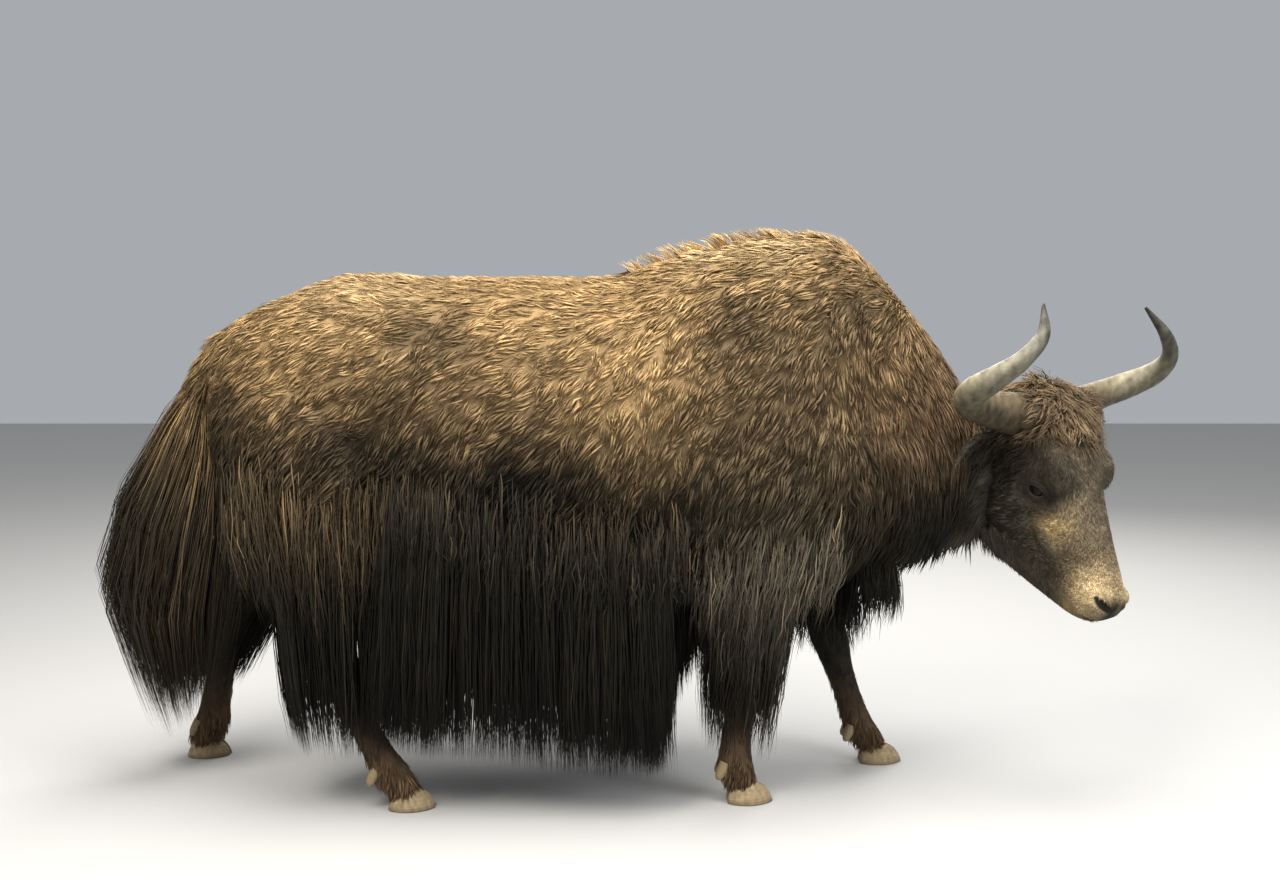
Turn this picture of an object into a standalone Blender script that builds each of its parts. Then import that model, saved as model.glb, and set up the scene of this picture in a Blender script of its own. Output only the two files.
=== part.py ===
"""A wild yak bull, life size, standing in a slow walk with its head lowered and turned to its right.

The animal faces +X, its right side faces -Y, and its claws stand on Z = 0. Units are metres.
The flesh is lofted from named stations, fused into one skin, thinned, and parted into named nodes.
The long coat hangs from the node it grows on.
"""

import math
import random

import bmesh
import bpy
import numpy as np
from mathutils import Matrix, Vector

# Clearances between neighbouring nodes
GAP = 0.0004
SEAT = 0.0010
# The body's own frame is moved by this much, so that the origin is below the middle of the whole animal
CENTRING = Vector((0.010, 0.052, 0.0))

# How finely the flesh is made
VOXEL = 0.011
SMOOTHING_PASSES = 4
BODY_TRIANGLES = 1950
HEAD_TRIANGLES = 1250
RING_SIDES = 28

RIGHT = -1
LEFT = 1
SIDES = {"right": RIGHT, "left": LEFT}

# Head pose
HEAD_TURN = math.radians(45.6)
HEAD_PITCH = math.radians(65.7)
HEAD_ROLL = math.radians(-3.1)
POLL = Vector((1.278, -0.129, 1.249))

# Planes that part the neck from the torso, and the head from the neck
NECK_BASE = Vector((0.84, 0.0, 1.22))
NECK_BASE_NORMAL = Vector((0.979, 0.0, 0.202))
THROAT = (-0.040, -0.032, 0.0)
THROAT_NORMAL = (0.78, 0.63)

# Heights at which the legs are parted from the torso
LEG_TOPS = {"fore": 0.86, "hind": 0.88}

# Torso stations: x, height of the widest line, reach up, reach down, half width, peak of the upper half
TORSO = (
    (-1.345, 1.23, 0.10, 0.16, 0.08, 1.0),
    (-1.315, 1.22, 0.23, 0.27, 0.20, 1.0),
    (-1.240, 1.20, 0.33, 0.37, 0.28, 1.0),
    (-1.100, 1.17, 0.425, 0.43, 0.345, 1.0),
    (-0.900, 1.13, 0.53, 0.45, 0.395, 1.05),
    (-0.650, 1.06, 0.59, 0.43, 0.440, 1.05),
    (-0.350, 1.01, 0.64, 0.42, 0.462, 1.1),
    (-0.080, 0.99, 0.665, 0.41, 0.462, 1.2),
    (0.120, 1.00, 0.715, 0.41, 0.450, 1.18),
    (0.340, 1.02, 0.740, 0.42, 0.440, 1.18),
    (0.530, 1.04, 0.742, 0.42, 0.410, 1.18),
    (0.640, 1.06, 0.700, 0.41, 0.370, 1.18),
    (0.740, 1.08, 0.590, 0.38, 0.310, 1.15),
    (0.840, 1.09, 0.450, 0.33, 0.240, 1.1),
    (0.900, 1.09, 0.340, 0.26, 0.170, 1.0),
)

# Neck stations: centre x, y, z, tilt of the ring, reach up, reach down, half width
NECK = (
    (0.560, 0.000, 1.130, 0, 0.50, 0.42, 0.330),
    (0.700, 0.000, 1.110, 0, 0.580, 0.405, 0.325),
    (0.820, -0.005, 1.085, 2, 0.485, 0.370, 0.295),
    (0.910, -0.020, 1.055, 5, 0.365, 0.335, 0.248),
    (1.000, -0.045, 1.040, 9, 0.240, 0.305, 0.208),
    (1.090, -0.080, 1.035, 13, 0.225, 0.300, 0.182),
    (1.150, -0.110, 1.040, 17, 0.200, 0.275, 0.165),
    (1.200, -0.135, 1.050, 20, 0.140, 0.220, 0.120),
)

# Head stations: forward from the poll, height of the widest line, reach up, reach down,
# half width, squareness of the brow (below 1 is squarer), narrowing towards the jaw
HEAD = (
    (-0.070, -0.080, 0.085, 0.10, 0.095, 0.85, 0.10),
    (-0.030, -0.080, 0.112, 0.17, 0.130, 0.80, 0.15),
    (0.030, -0.070, 0.122, 0.22, 0.148, 0.72, 0.20),
    (0.100, -0.070, 0.134, 0.265, 0.154, 0.66, 0.25),
    (0.180, -0.070, 0.134, 0.298, 0.154, 0.64, 0.30),
    (0.250, -0.075, 0.124, 0.315, 0.146, 0.64, 0.35),
    (0.330, -0.085, 0.118, 0.305, 0.124, 0.68, 0.40),
    (0.420, -0.090, 0.112, 0.262, 0.106, 0.74, 0.40),
    (0.510, -0.090, 0.102, 0.202, 0.095, 0.78, 0.35),
    (0.580, -0.090, 0.095, 0.150, 0.092, 0.82, 0.30),
    (0.635, -0.090, 0.084, 0.106, 0.088, 0.85, 0.25),
    (0.670, -0.085, 0.062, 0.070, 0.070, 0.85, 0.20),
    (0.690, -0.078, 0.036, 0.038, 0.042, 0.90, 0.10),
)

# Rounded masses fused into the head: centre forward, up, sideways, and half sizes along the same
HEAD_MASSES = (
    (0.235, -0.006, 0.124, 0.074, 0.068, 0.041),
    (0.235, -0.185, 0.090, 0.125, 0.115, 0.045),
    (0.370, -0.130, 0.082, 0.110, 0.042, 0.032),
    (0.635, -0.060, 0.054, 0.048, 0.050, 0.042),
    (0.600, -0.120, 0.052, 0.065, 0.038, 0.040),
)

# Leg stations, from the shoulder or haunch down: z, x, y, half length along x, half width along y
LEG_FORE_RIGHT = (
    (1.330, 0.500, -0.170, 0.14, 0.10),
    (1.200, 0.510, -0.240, 0.20, 0.150),
    (1.050, 0.500, -0.275, 0.22, 0.160),
    (0.900, 0.450, -0.275, 0.195, 0.145),
    (0.760, 0.390, -0.255, 0.150, 0.120),
    (0.620, 0.345, -0.235, 0.105, 0.092),
    (0.500, 0.325, -0.225, 0.080, 0.074),
    (0.420, 0.320, -0.220, 0.078, 0.072),
    (0.340, 0.312, -0.215, 0.060, 0.058),
    (0.240, 0.302, -0.210, 0.052, 0.050),
    (0.160, 0.298, -0.208, 0.058, 0.056),
    (0.110, 0.300, -0.208, 0.066, 0.062),
    (0.060, 0.316, -0.208, 0.066, 0.062),
    (0.030, 0.322, -0.208, 0.060, 0.056),
)
LEG_FORE_LEFT = (
    (1.330, 0.500, 0.170, 0.14, 0.10),
    (1.200, 0.530, 0.240, 0.20, 0.150),
    (1.050, 0.550, 0.275, 0.21, 0.160),
    (0.900, 0.545, 0.275, 0.185, 0.145),
    (0.760, 0.545, 0.255, 0.150, 0.120),
    (0.620, 0.575, 0.240, 0.105, 0.092),
    (0.500, 0.615, 0.235, 0.080, 0.074),
    (0.420, 0.635, 0.232, 0.076, 0.072),
    (0.340, 0.660, 0.230, 0.060, 0.058),
    (0.240, 0.695, 0.230, 0.053, 0.050),
    (0.160, 0.725, 0.230, 0.060, 0.056),
    (0.110, 0.750, 0.230, 0.068, 0.062),
    (0.060, 0.782, 0.230, 0.068, 0.062),
    (0.030, 0.790, 0.230, 0.060, 0.056),
)
LEG_HIND_RIGHT = (
    (1.400, -1.000, -0.170, 0.18, 0.10),
    (1.250, -1.020, -0.235, 0.25, 0.145),
    (1.080, -0.985, -0.265, 0.275, 0.165),
    (0.920, -0.930, -0.275, 0.250, 0.155),
    (0.790, -0.900, -0.275, 0.200, 0.130),
    (0.670, -0.915, -0.270, 0.145, 0.102),
    (0.560, -0.950, -0.268, 0.100, 0.078),
    (0.480, -0.955, -0.266, 0.088, 0.072),
    (0.390, -0.920, -0.266, 0.066, 0.058),
    (0.280, -0.862, -0.268, 0.055, 0.052),
    (0.180, -0.808, -0.270, 0.058, 0.055),
    (0.115, -0.768, -0.272, 0.068, 0.062),
    (0.060, -0.730, -0.275, 0.068, 0.062),
    (0.030, -0.720, -0.275, 0.060, 0.056),
)
LEG_HIND_LEFT = (
    (1.400, -1.020, 0.170, 0.18, 0.10),
    (1.250, -1.060, 0.235, 0.235, 0.145),
    (1.080, -1.080, 0.265, 0.245, 0.165),
    (0.920, -1.095, 0.280, 0.230, 0.155),
    (0.790, -1.140, 0.285, 0.185, 0.130),
    (0.670, -1.225, 0.290, 0.140, 0.102),
    (0.560, -1.330, 0.292, 0.100, 0.078),
    (0.480, -1.385, 0.294, 0.086, 0.072),
    (0.390, -1.410, 0.296, 0.064, 0.058),
    (0.280, -1.430, 0.298, 0.055, 0.052),
    (0.180, -1.448, 0.300, 0.058, 0.055),
    (0.115, -1.462, 0.302, 0.068, 0.062),
    (0.060, -1.484, 0.304, 0.068, 0.062),
    (0.030, -1.490, 0.304, 0.060, 0.056),
)
LEGS = {
    "fore_right": LEG_FORE_RIGHT,
    "fore_left": LEG_FORE_LEFT,
    "hind_right": LEG_HIND_RIGHT,
    "hind_left": LEG_HIND_LEFT,
}

# Horn centre line on the head: forward, up and sideways from the poll, and the horn's radius there
HORN = (
    (0.045, -0.015, 0.070, 0.066),
    (0.040, -0.020, 0.168, 0.070),
    (0.000, -0.062, 0.282, 0.056),
    (-0.020, -0.044, 0.405, 0.049),
    (-0.026, 0.031, 0.482, 0.045),
    (-0.031, 0.120, 0.500, 0.038),
    (-0.055, 0.200, 0.462, 0.029),
    (-0.110, 0.244, 0.390, 0.018),
    (-0.205, 0.244, 0.322, 0.004),
)
HORN_SIDES = 10
HORN_RINGS = 19

# Ear: where its root sits on the head, where its tip points, the way its cup opens, and its sizes
EAR_ROOT = Vector((0.080, -0.110, 0.120))
EAR_TIP = Vector((0.145, -0.200, 0.365))
EAR_OPENING = Vector((0.85, 0.05, 0.45))
EAR_HALF_WIDTH = 0.050
EAR_THICKNESS = 0.010
EAR_PROFILE = (0.42, 0.72, 0.96, 1.0, 0.84, 0.50, 0.14)

# Eye: its centre on the head, its radius, how far it looks forward, and the lids' half length,
# half height, roundness and slant
EYE = Vector((0.268, -0.074, 0.121))
EYE_RADIUS = 0.026
EYE_TURN = math.radians(16)
LID_HALF_LENGTH = 0.030
LID_HALF_HEIGHT = 0.0200
LID_RADIUS = 0.0075
LID_SLANT = math.radians(-35)

# Nostril: centre on the head, half sizes, and its slant in the muzzle
NOSTRIL = Vector((0.648, -0.050, 0.062))
NOSTRIL_SIZE = Vector((0.026, 0.011, 0.030))
NOSTRIL_SLANT = math.radians(35)

# Line of the mouth: from the corner to the front of the lips, and the groove's width and depth
MOUTH_CORNER = (0.555, -0.150)
MOUTH_FRONT = (0.700, -0.128)
MOUTH_WIDTH = 0.005
MOUTH_DEPTH = 0.010

# Claws: outline of one claw seen from above, from the heel round the outer wall to the toe
CLAW_OUTLINE = ((-0.062, 0.006), (-0.060, 0.040), (-0.030, 0.060), (0.010, 0.063), (0.048, 0.046),
                (0.074, 0.018), (0.072, 0.006), (0.010, 0.005))
CLAW_TOP = 0.84
CORONET_FRONT = 0.078
CORONET_HEEL = 0.046
FOOT_FORWARD = 0.012
DEWCLAW_HEIGHT = 0.115
DEWCLAW_RADIUS = 0.017

# Tail core stations: x, y, z and radius
TAIL = (
    (-1.235, 0.000, 1.440, 0.060),
    (-1.315, 0.000, 1.400, 0.062),
    (-1.375, 0.000, 1.310, 0.060),
    (-1.440, 0.000, 1.180, 0.064),
    (-1.500, 0.000, 1.020, 0.068),
    (-1.545, 0.000, 0.860, 0.062),
    (-1.570, 0.000, 0.720, 0.045),
    (-1.575, 0.000, 0.620, 0.020),
)

# Skirt of each side: x and z of the root, x and z of the tip
SKIRT_RIGHT = (
    (-0.640, 0.985, -0.705, 0.260),
    (-0.560, 1.000, -0.600, 0.185),
    (-0.400, 0.965, -0.400, 0.165),
    (-0.235, 0.912, -0.235, 0.140),
    (-0.100, 0.875, -0.100, 0.125),
    (0.000, 0.852, 0.030, 0.135),
    (0.060, 0.832, 0.085, 0.230),
    (0.120, 0.810, 0.105, 0.400),
)
SKIRT_LEFT = (
    (-0.860, 0.985, -0.880, 0.330),
    (-0.700, 1.000, -0.700, 0.190),
    (-0.450, 0.965, -0.450, 0.165),
    (-0.235, 0.912, -0.235, 0.140),
    (-0.050, 0.875, -0.060, 0.125),
    (0.100, 0.840, 0.110, 0.170),
    (0.220, 0.810, 0.210, 0.330),
    (0.300, 0.795, 0.280, 0.420),
)
# How far the skirt stands from the midplane: at its root, a little below, half way and at the tip
SKIRT_STAND = (0.385, 0.482, 0.478, 0.440)

# Hair hung round the legs and the tail: rows of four places, from the root to the tip
BREECH_RIGHT = (
    ((-0.755, -0.330, 0.840), (-0.750, -0.425, 0.720), (-0.748, -0.405, 0.450), (-0.765, -0.375, 0.200)),
    ((-0.900, -0.330, 0.850), (-0.900, -0.440, 0.720), (-0.895, -0.420, 0.430), (-0.890, -0.385, 0.160)),
    ((-1.030, -0.310, 0.850), (-1.050, -0.410, 0.710), (-1.040, -0.400, 0.430), (-1.010, -0.370, 0.170)),
    ((-1.060, -0.270, 0.830), (-1.110, -0.320, 0.700), (-1.100, -0.310, 0.430), (-1.060, -0.300, 0.190)),
    ((-1.030, -0.230, 0.820), (-1.080, -0.200, 0.680), (-1.070, -0.200, 0.440), (-1.040, -0.220, 0.240)),
)
BREECH_LEFT = (
    ((-1.020, 0.330, 0.840), (-1.080, 0.415, 0.700), (-1.260, 0.405, 0.450), (-1.370, 0.390, 0.260)),
    ((-1.130, 0.330, 0.850), (-1.200, 0.430, 0.700), (-1.370, 0.420, 0.440), (-1.450, 0.395, 0.200)),
    ((-1.230, 0.320, 0.840), (-1.360, 0.400, 0.700), (-1.480, 0.400, 0.440), (-1.540, 0.380, 0.180)),
    ((-1.270, 0.290, 0.820), (-1.430, 0.330, 0.690), (-1.570, 0.330, 0.440), (-1.620, 0.330, 0.200)),
    ((-1.270, 0.260, 0.810), (-1.420, 0.250, 0.680), (-1.550, 0.260, 0.440), (-1.600, 0.270, 0.240)),
)
# Fore leg hair: height, offset round the leg's core along x and y, for each of the four places
FORE_HAIR_RIGHT = ((0.740, 0.080, 0.070), (0.620, 0.145, 0.125), (0.400, 0.140, 0.120), (0.155, 0.115, 0.100))
FORE_HAIR_LEFT = ((0.760, 0.080, 0.070), (0.690, 0.140, 0.120), (0.560, 0.130, 0.110), (0.430, 0.105, 0.090))
TAIL_HAIR = (
    ((-1.372, 0.000, 1.300), (-1.590, 0.000, 1.075), (-1.757, 0.000, 0.700), (-1.580, 0.000, 0.130)),
    ((-1.370, -0.025, 1.290), (-1.560, -0.095, 1.045), (-1.710, -0.115, 0.670), (-1.545, -0.080, 0.150)),
    ((-1.380, -0.030, 1.240), (-1.450, -0.140, 0.990), (-1.560, -0.165, 0.620), (-1.480, -0.110, 0.170)),
    ((-1.370, -0.030, 1.200), (-1.300, -0.100, 0.960), (-1.330, -0.115, 0.600), (-1.385, -0.090, 0.230)),
    ((-1.365, 0.000, 1.180), (-1.275, 0.000, 0.960), (-1.225, 0.000, 0.640), (-1.330, 0.000, 0.260)),
    ((-1.370, 0.030, 1.200), (-1.310, 0.080, 0.960), (-1.340, 0.090, 0.600), (-1.385, 0.075, 0.230)),
    ((-1.380, 0.030, 1.240), (-1.460, 0.130, 0.990), (-1.560, 0.150, 0.620), (-1.480, 0.100, 0.170)),
    ((-1.370, 0.025, 1.290), (-1.560, 0.090, 1.045), (-1.710, 0.110, 0.670), (-1.545, 0.075, 0.150)),
)
BRISKET_HAIR = (
    ((0.690, -0.150, 0.760), (0.700, -0.185, 0.680), (0.705, -0.180, 0.600), (0.695, -0.170, 0.540)),
    ((0.770, -0.110, 0.760), (0.785, -0.130, 0.680), (0.790, -0.125, 0.590), (0.780, -0.115, 0.520)),
    ((0.800, 0.000, 0.760), (0.825, 0.000, 0.680), (0.835, 0.000, 0.580), (0.820, 0.000, 0.500)),
    ((0.770, 0.110, 0.760), (0.785, 0.130, 0.680), (0.790, 0.125, 0.590), (0.780, 0.115, 0.520)),
    ((0.690, 0.120, 0.760), (0.700, 0.140, 0.680), (0.705, 0.135, 0.600), (0.695, 0.130, 0.540)),
)
# Ridge of the hump: x and height, with the bristles' lean and rise from root to tip
CREST = ((0.00, 1.652), (0.15, 1.706), (0.30, 1.742), (0.45, 1.762), (0.60, 1.752), (0.70, 1.692))
CREST_LEAN = -0.085
CREST_RISE = ((0.0, -0.045), (0.25, -0.020), (0.6, 0.004), (1.0, 0.022))
# Curls on the poll, from root to tip: forward, up and spread
FORELOCK = ((0.000, -0.010, 0.9), (-0.010, 0.040, 1.0), (0.050, 0.066, 1.05), (0.120, 0.060, 1.0))
TOPKNOT = ((-0.002, -0.040, 0.8), (-0.028, 0.010, 0.9), (-0.022, 0.044, 1.0), (0.015, 0.062, 1.0))

# A lock's rings: share of its length, share of its width
LOCK_SHAPE = ((0.0, 0.55), (0.28, 1.0), (0.62, 1.0), (0.88, 0.62))
# Tiers of each group: number of locks, how far they are drawn in to the core, width, thickness, sway
TIERS = {
    "skirt_right": ((12, 1.0, 0.112, 0.016, 0.030), (7, 0.90, 0.130, 0.016, 0.030)),
    "skirt_left": ((12, 1.0, 0.135, 0.016, 0.030), (7, 0.90, 0.160, 0.016, 0.030)),
    "brisket": ((8, 1.0, 0.080, 0.018, 0.020), (3, 0.5, 0.090, 0.018, 0.020)),
    "crest": ((10, 1.0, 0.060, 0.022, 0.004),),
    "forelock": ((5, 1.0, 0.034, 0.014, 0.008),),
    "topknot": ((4, 1.0, 0.038, 0.016, 0.008),),
    "breech": ((8, 1.0, 0.115, 0.016, 0.020),),
    "fore_right": ((9, 1.0, 0.102, 0.016, 0.018),),
    "fore_left": ((8, 1.0, 0.085, 0.018, 0.020),),
    "tail": ((13, 1.0, 0.105, 0.020, 0.022), (4, 0.50, 0.120, 0.022, 0.030)),
}


def smooth_rows(rows, count):
    """Catmull-Rom rows through the given rows, evenly spaced between the first and the last."""
    table = np.array(rows, float)
    padded = np.vstack([2 * table[0] - table[1], table, 2 * table[-1] - table[-2]])
    made = []
    for step in np.linspace(0, len(table) - 1, count):
        i = min(int(step), len(table) - 2)
        t = step - i
        p0, p1, p2, p3 = padded[i : i + 4]
        made.append(
            0.5 * (2 * p1 + (p2 - p0) * t + (2 * p0 - 5 * p1 + 4 * p2 - p3) * t * t
                   + (3 * p1 - p0 - 3 * p2 + p3) * t**3)
        )
    return made


def new_object(name, bm, home):
    """A mesh object made from a bmesh, with its faces pointing out."""
    bmesh.ops.recalc_face_normals(bm, faces=bm.faces[:])
    mesh = bpy.data.meshes.new(name)
    bm.to_mesh(mesh)
    bm.free()
    obj = bpy.data.objects.new(name, mesh)
    home.objects.link(obj)
    return obj


def loft(name, rings, home, tip=None):
    """A closed tube through rings of points, with a flat cap or a pointed tip at its far end."""
    bm = bmesh.new()
    rows = [[bm.verts.new(p) for p in ring] for ring in rings]
    for low, high in zip(rows, rows[1:]):
        for i in range(len(low)):
            j = (i + 1) % len(low)
            bm.faces.new((low[i], low[j], high[j], high[i]))
    bm.faces.new(rows[0][::-1])
    if tip is None:
        bm.faces.new(rows[-1])
    else:
        point = bm.verts.new(tip)
        for i, vert in enumerate(rows[-1]):
            bm.faces.new((vert, rows[-1][(i + 1) % len(rows[-1])], point))
    return new_object(name, bm, home)


def egg(half_width, up, down, peak, sides=RING_SIDES):
    """Points (side, height) of an egg-shaped ring; a peak above 1 narrows its upper half."""
    points = []
    for k in range(sides):
        t = 2 * math.pi * k / sides
        c, s = math.cos(t), math.sin(t)
        power = peak if s > 0 else 0.9
        points.append((math.copysign(abs(c) ** power, c) * half_width, s * (up if s > 0 else down)))
    return points


def torso_loft(home):
    rings = []
    for x, z, up, down, half, peak in smooth_rows(TORSO, 40):
        rings.append([Vector((x, y, z + h)) for y, h in egg(half, up, down, peak)])
    return loft("flesh_torso", rings, home)


def neck_loft(home):
    rings = []
    for x, y0, z, tilt, up, down, half in smooth_rows(NECK, 20):
        lean = Matrix.Rotation(math.radians(tilt), 3, "Y")
        middle = Vector((x, y0, z))
        rings.append([middle + lean @ Vector((0, y, h)) for y, h in egg(half, up, down, 1.15)])
    return loft("flesh_neck", rings, home)


def head_axes():
    """The head's own axes in the body's frame: forward along the face, up out of the forehead, and left."""
    heading = Vector((math.cos(HEAD_TURN), -math.sin(HEAD_TURN), 0))
    left = Vector((math.sin(HEAD_TURN), math.cos(HEAD_TURN), 0))
    down = Vector((0, 0, -1))
    forward = heading * math.cos(HEAD_PITCH) + down * math.sin(HEAD_PITCH)
    up = heading * math.sin(HEAD_PITCH) - down * math.cos(HEAD_PITCH)
    roll = Matrix.Rotation(HEAD_ROLL, 3, forward)
    return forward, roll @ up, roll @ left


HEAD_FORWARD, HEAD_UP, HEAD_LEFT = head_axes()


def on_head(forward, up, left):
    """A place given on the head, in the body's frame."""
    return POLL + HEAD_FORWARD * forward + HEAD_UP * up + HEAD_LEFT * left


THROAT_WAY = (HEAD_FORWARD * THROAT_NORMAL[0] + HEAD_UP * THROAT_NORMAL[1]).normalized()


def head_loft(home):
    rings = []
    for a, b, up, down, half, square, narrow in smooth_rows(HEAD, 32):
        ring = []
        for side, h in egg(half, up, down, square):
            taper = 1 - narrow * max(0.0, -h / down) ** 1.5
            ring.append(on_head(a, b + h, side * taper))
        rings.append(ring)
    return loft("flesh_head", rings, home)


def ellipsoid(name, middle, axes, sizes, home, rings=8, sides=12):
    """A closed egg round a middle, with its half sizes along three given axes."""
    rows = []
    for i in range(1, rings):
        t = math.pi * i / rings
        row = []
        for k in range(sides):
            s = 2 * math.pi * k / sides
            local = (-math.cos(t), math.sin(t) * math.cos(s), math.sin(t) * math.sin(s))
            place = middle.copy()
            for axis, size, amount in zip(axes, sizes, local):
                place += axis * size * amount
            row.append(place)
        rows.append(row)
    return loft(name, rows, home)


def head_masses(home):
    """Brows, cheeks, cheek bones, nostril wings and upper lips, on both sides."""
    axes = (HEAD_FORWARD, HEAD_UP, HEAD_LEFT)
    made = []
    for a, b, side, *sizes in HEAD_MASSES:
        for hand in SIDES.values():
            made.append(ellipsoid("mass", on_head(a, b, side * hand), axes, sizes, home))
    return made


def leg_at(name, z):
    """The leg core's x, y and half sizes at a height."""
    rows = np.array(LEGS[name], float)[::-1]
    return [float(np.interp(z, rows[:, 0], rows[:, column])) for column in (1, 2, 3, 4)]


def around(x, y, z, rx, ry, sides):
    """A level oval ring."""
    ring = []
    for k in range(sides):
        t = 2 * math.pi * k / sides
        ring.append(Vector((x + rx * math.cos(t), y + ry * math.sin(t), z)))
    return ring


def leg_loft(name, home):
    rings = [around(x, y, z, rx, ry, RING_SIDES) for z, x, y, rx, ry in smooth_rows(LEGS[name], 34)]
    return loft("leg_" + name, rings, home)


def leg_region(name, home, grow=0.0):
    """The room that a leg takes up, by which it is parted from the torso."""
    top = LEG_TOPS[name.split("_")[0]]
    rings = []
    for z, margin in ((top, 0.035), (0.72, 0.045), (0.62, 0.060), (0.40, 0.09), (0.0, 0.20), (-0.1, 0.20)):
        x, y, rx, ry = leg_at(name, z)
        height = z + (grow if z == top else 0)
        rings.append(around(x, y, height, rx + margin + grow, ry + margin + grow, 16))
    return loft("region", rings, home)


def apply_modifiers(obj):
    """Replaces an object's mesh by its evaluated one."""
    graph = bpy.context.evaluated_depsgraph_get()
    graph.update()
    made = bpy.data.meshes.new_from_object(obj.evaluated_get(graph))
    obj.modifiers.clear()
    old = obj.data
    obj.data = made
    bpy.data.meshes.remove(old)
    return obj


def join_meshes(objects, name, home):
    """One object that holds the meshes of several, still as loose shells."""
    bm = bmesh.new()
    for obj in objects:
        bm.from_mesh(obj.data)
    for obj in objects:
        bpy.data.objects.remove(obj)
    return new_object(name, bm, home)


def boolean(obj, other, operation, solver="MANIFOLD"):
    """Applies one Boolean between two closed mesh objects, or with every object of a collection."""
    modifier = obj.modifiers.new("boolean", "BOOLEAN")
    modifier.operation = operation
    modifier.solver = solver
    if isinstance(other, bpy.types.Collection):
        modifier.operand_type = "COLLECTION"
        modifier.collection = other
    else:
        modifier.object = other
    return apply_modifiers(obj)


def shells_of(bm):
    """The vertices of each loose closed surface of a bmesh."""
    unseen = set(bm.verts)
    shells = []
    while unseen:
        shell, front = set(), [unseen.pop()]
        while front:
            vert = front.pop()
            shell.add(vert)
            for edge in vert.link_edges:
                other = edge.other_vert(vert)
                if other in unseen:
                    unseen.discard(other)
                    front.append(other)
        shells.append(shell)
    return shells


def area_of(shell):
    return sum(face.calc_area() for face in {f for v in shell for f in v.link_faces})


def keep_shell(obj, score):
    """Leaves only the shell that scores highest, in triangles."""
    bm = bmesh.new()
    bm.from_mesh(obj.data)
    best = max(shells_of(bm), key=score)
    bmesh.ops.delete(bm, geom=[v for v in bm.verts if v not in best], context="VERTS")
    bmesh.ops.triangulate(bm, faces=bm.faces[:])
    bm.to_mesh(obj.data)
    bm.free()
    return obj


def keep_largest(obj):
    return keep_shell(obj, area_of)


def keep_nearest(obj, place):
    """Leaves only the shell with a vertex nearest to a place."""
    return keep_shell(obj, lambda shell: -min((v.co - place).length for v in shell))


def copy_of(obj, home, grow=0.0):
    """A copy of a mesh object, moved out along its normals by grow."""
    twin = bpy.data.objects.new(obj.name + "_copy", obj.data.copy())
    home.objects.link(twin)
    if grow:
        bm = bmesh.new()
        bm.from_mesh(twin.data)
        bm.normal_update()
        moved = [(v, v.co + v.normal * grow) for v in bm.verts]
        for vert, place in moved:
            vert.co = place
        bm.to_mesh(twin.data)
        bm.free()
    return twin


def cut_away(obj, cutter, operation="DIFFERENCE"):
    """One Boolean with a helper, which is removed afterwards."""
    boolean(obj, cutter, operation)
    bpy.data.objects.remove(cutter)
    return obj


def seated_on(obj, ground, home, gap=SEAT):
    """Cuts a piece where it would enter the node it sits on, and keeps the piece's outer part."""
    cut_away(obj, copy_of(ground, home, gap))
    return keep_largest(obj)


def slab(middle, normal, aside, tall, thickness, home):
    """A flat plate square to a normal, with its half width and its half height."""
    normal = normal.normalized()
    across = normal.cross(Vector((0, 0, 1))).normalized()
    upright = across.cross(normal)
    rings = []
    for level in (-0.5, 0.5):
        base = middle + normal * level * thickness
        corners = ((-1, -1), (1, -1), (1, 1), (-1, 1))
        rings.append([base + across * aside * i + upright * tall * j for i, j in corners])
    return loft("slab", rings, home)


def behind_throat(place):
    """How far a place lies on the body's side of the plane that parts head and neck."""
    return -(place - on_head(*THROAT)).dot(THROAT_WAY)


def thinned(obj, inside, target):
    """Thins the part of a mesh that lies inside a region to a number of triangles, and leaves the rest."""
    group = obj.vertex_groups.new(name="thin")
    chosen = {v.index for v in obj.data.vertices if inside(v.co)}
    group.add(list(chosen), 1.0, "REPLACE")
    total = sum(len(p.vertices) - 2 for p in obj.data.polygons)
    within = sum(len(p.vertices) - 2 for p in obj.data.polygons if chosen.issuperset(p.vertices))
    thin = obj.modifiers.new("thin", "DECIMATE")
    thin.ratio = 1 - (within - target) / total
    thin.vertex_group = group.name
    apply_modifiers(obj)
    obj.vertex_groups.clear()
    return obj


def fused_flesh(home):
    """Torso, neck, head and legs as one thinned skin, with smaller triangles on the head."""
    shapes = [torso_loft(home), neck_loft(home), head_loft(home), *head_masses(home)]
    for name in LEGS:
        shapes.append(leg_loft(name, home))
    flesh = join_meshes(shapes, "flesh", home)
    remesh = flesh.modifiers.new("remesh", "REMESH")
    remesh.mode = "VOXEL"
    remesh.voxel_size = VOXEL
    smooth = flesh.modifiers.new("smooth", "SMOOTH")
    smooth.factor = 0.5
    smooth.iterations = SMOOTHING_PASSES
    apply_modifiers(flesh)
    thinned(flesh, lambda place: behind_throat(place) > 0.0, BODY_TRIANGLES)
    thinned(flesh, lambda place: behind_throat(place) <= 0.0, HEAD_TRIANGLES)
    return keep_largest(flesh)


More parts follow.
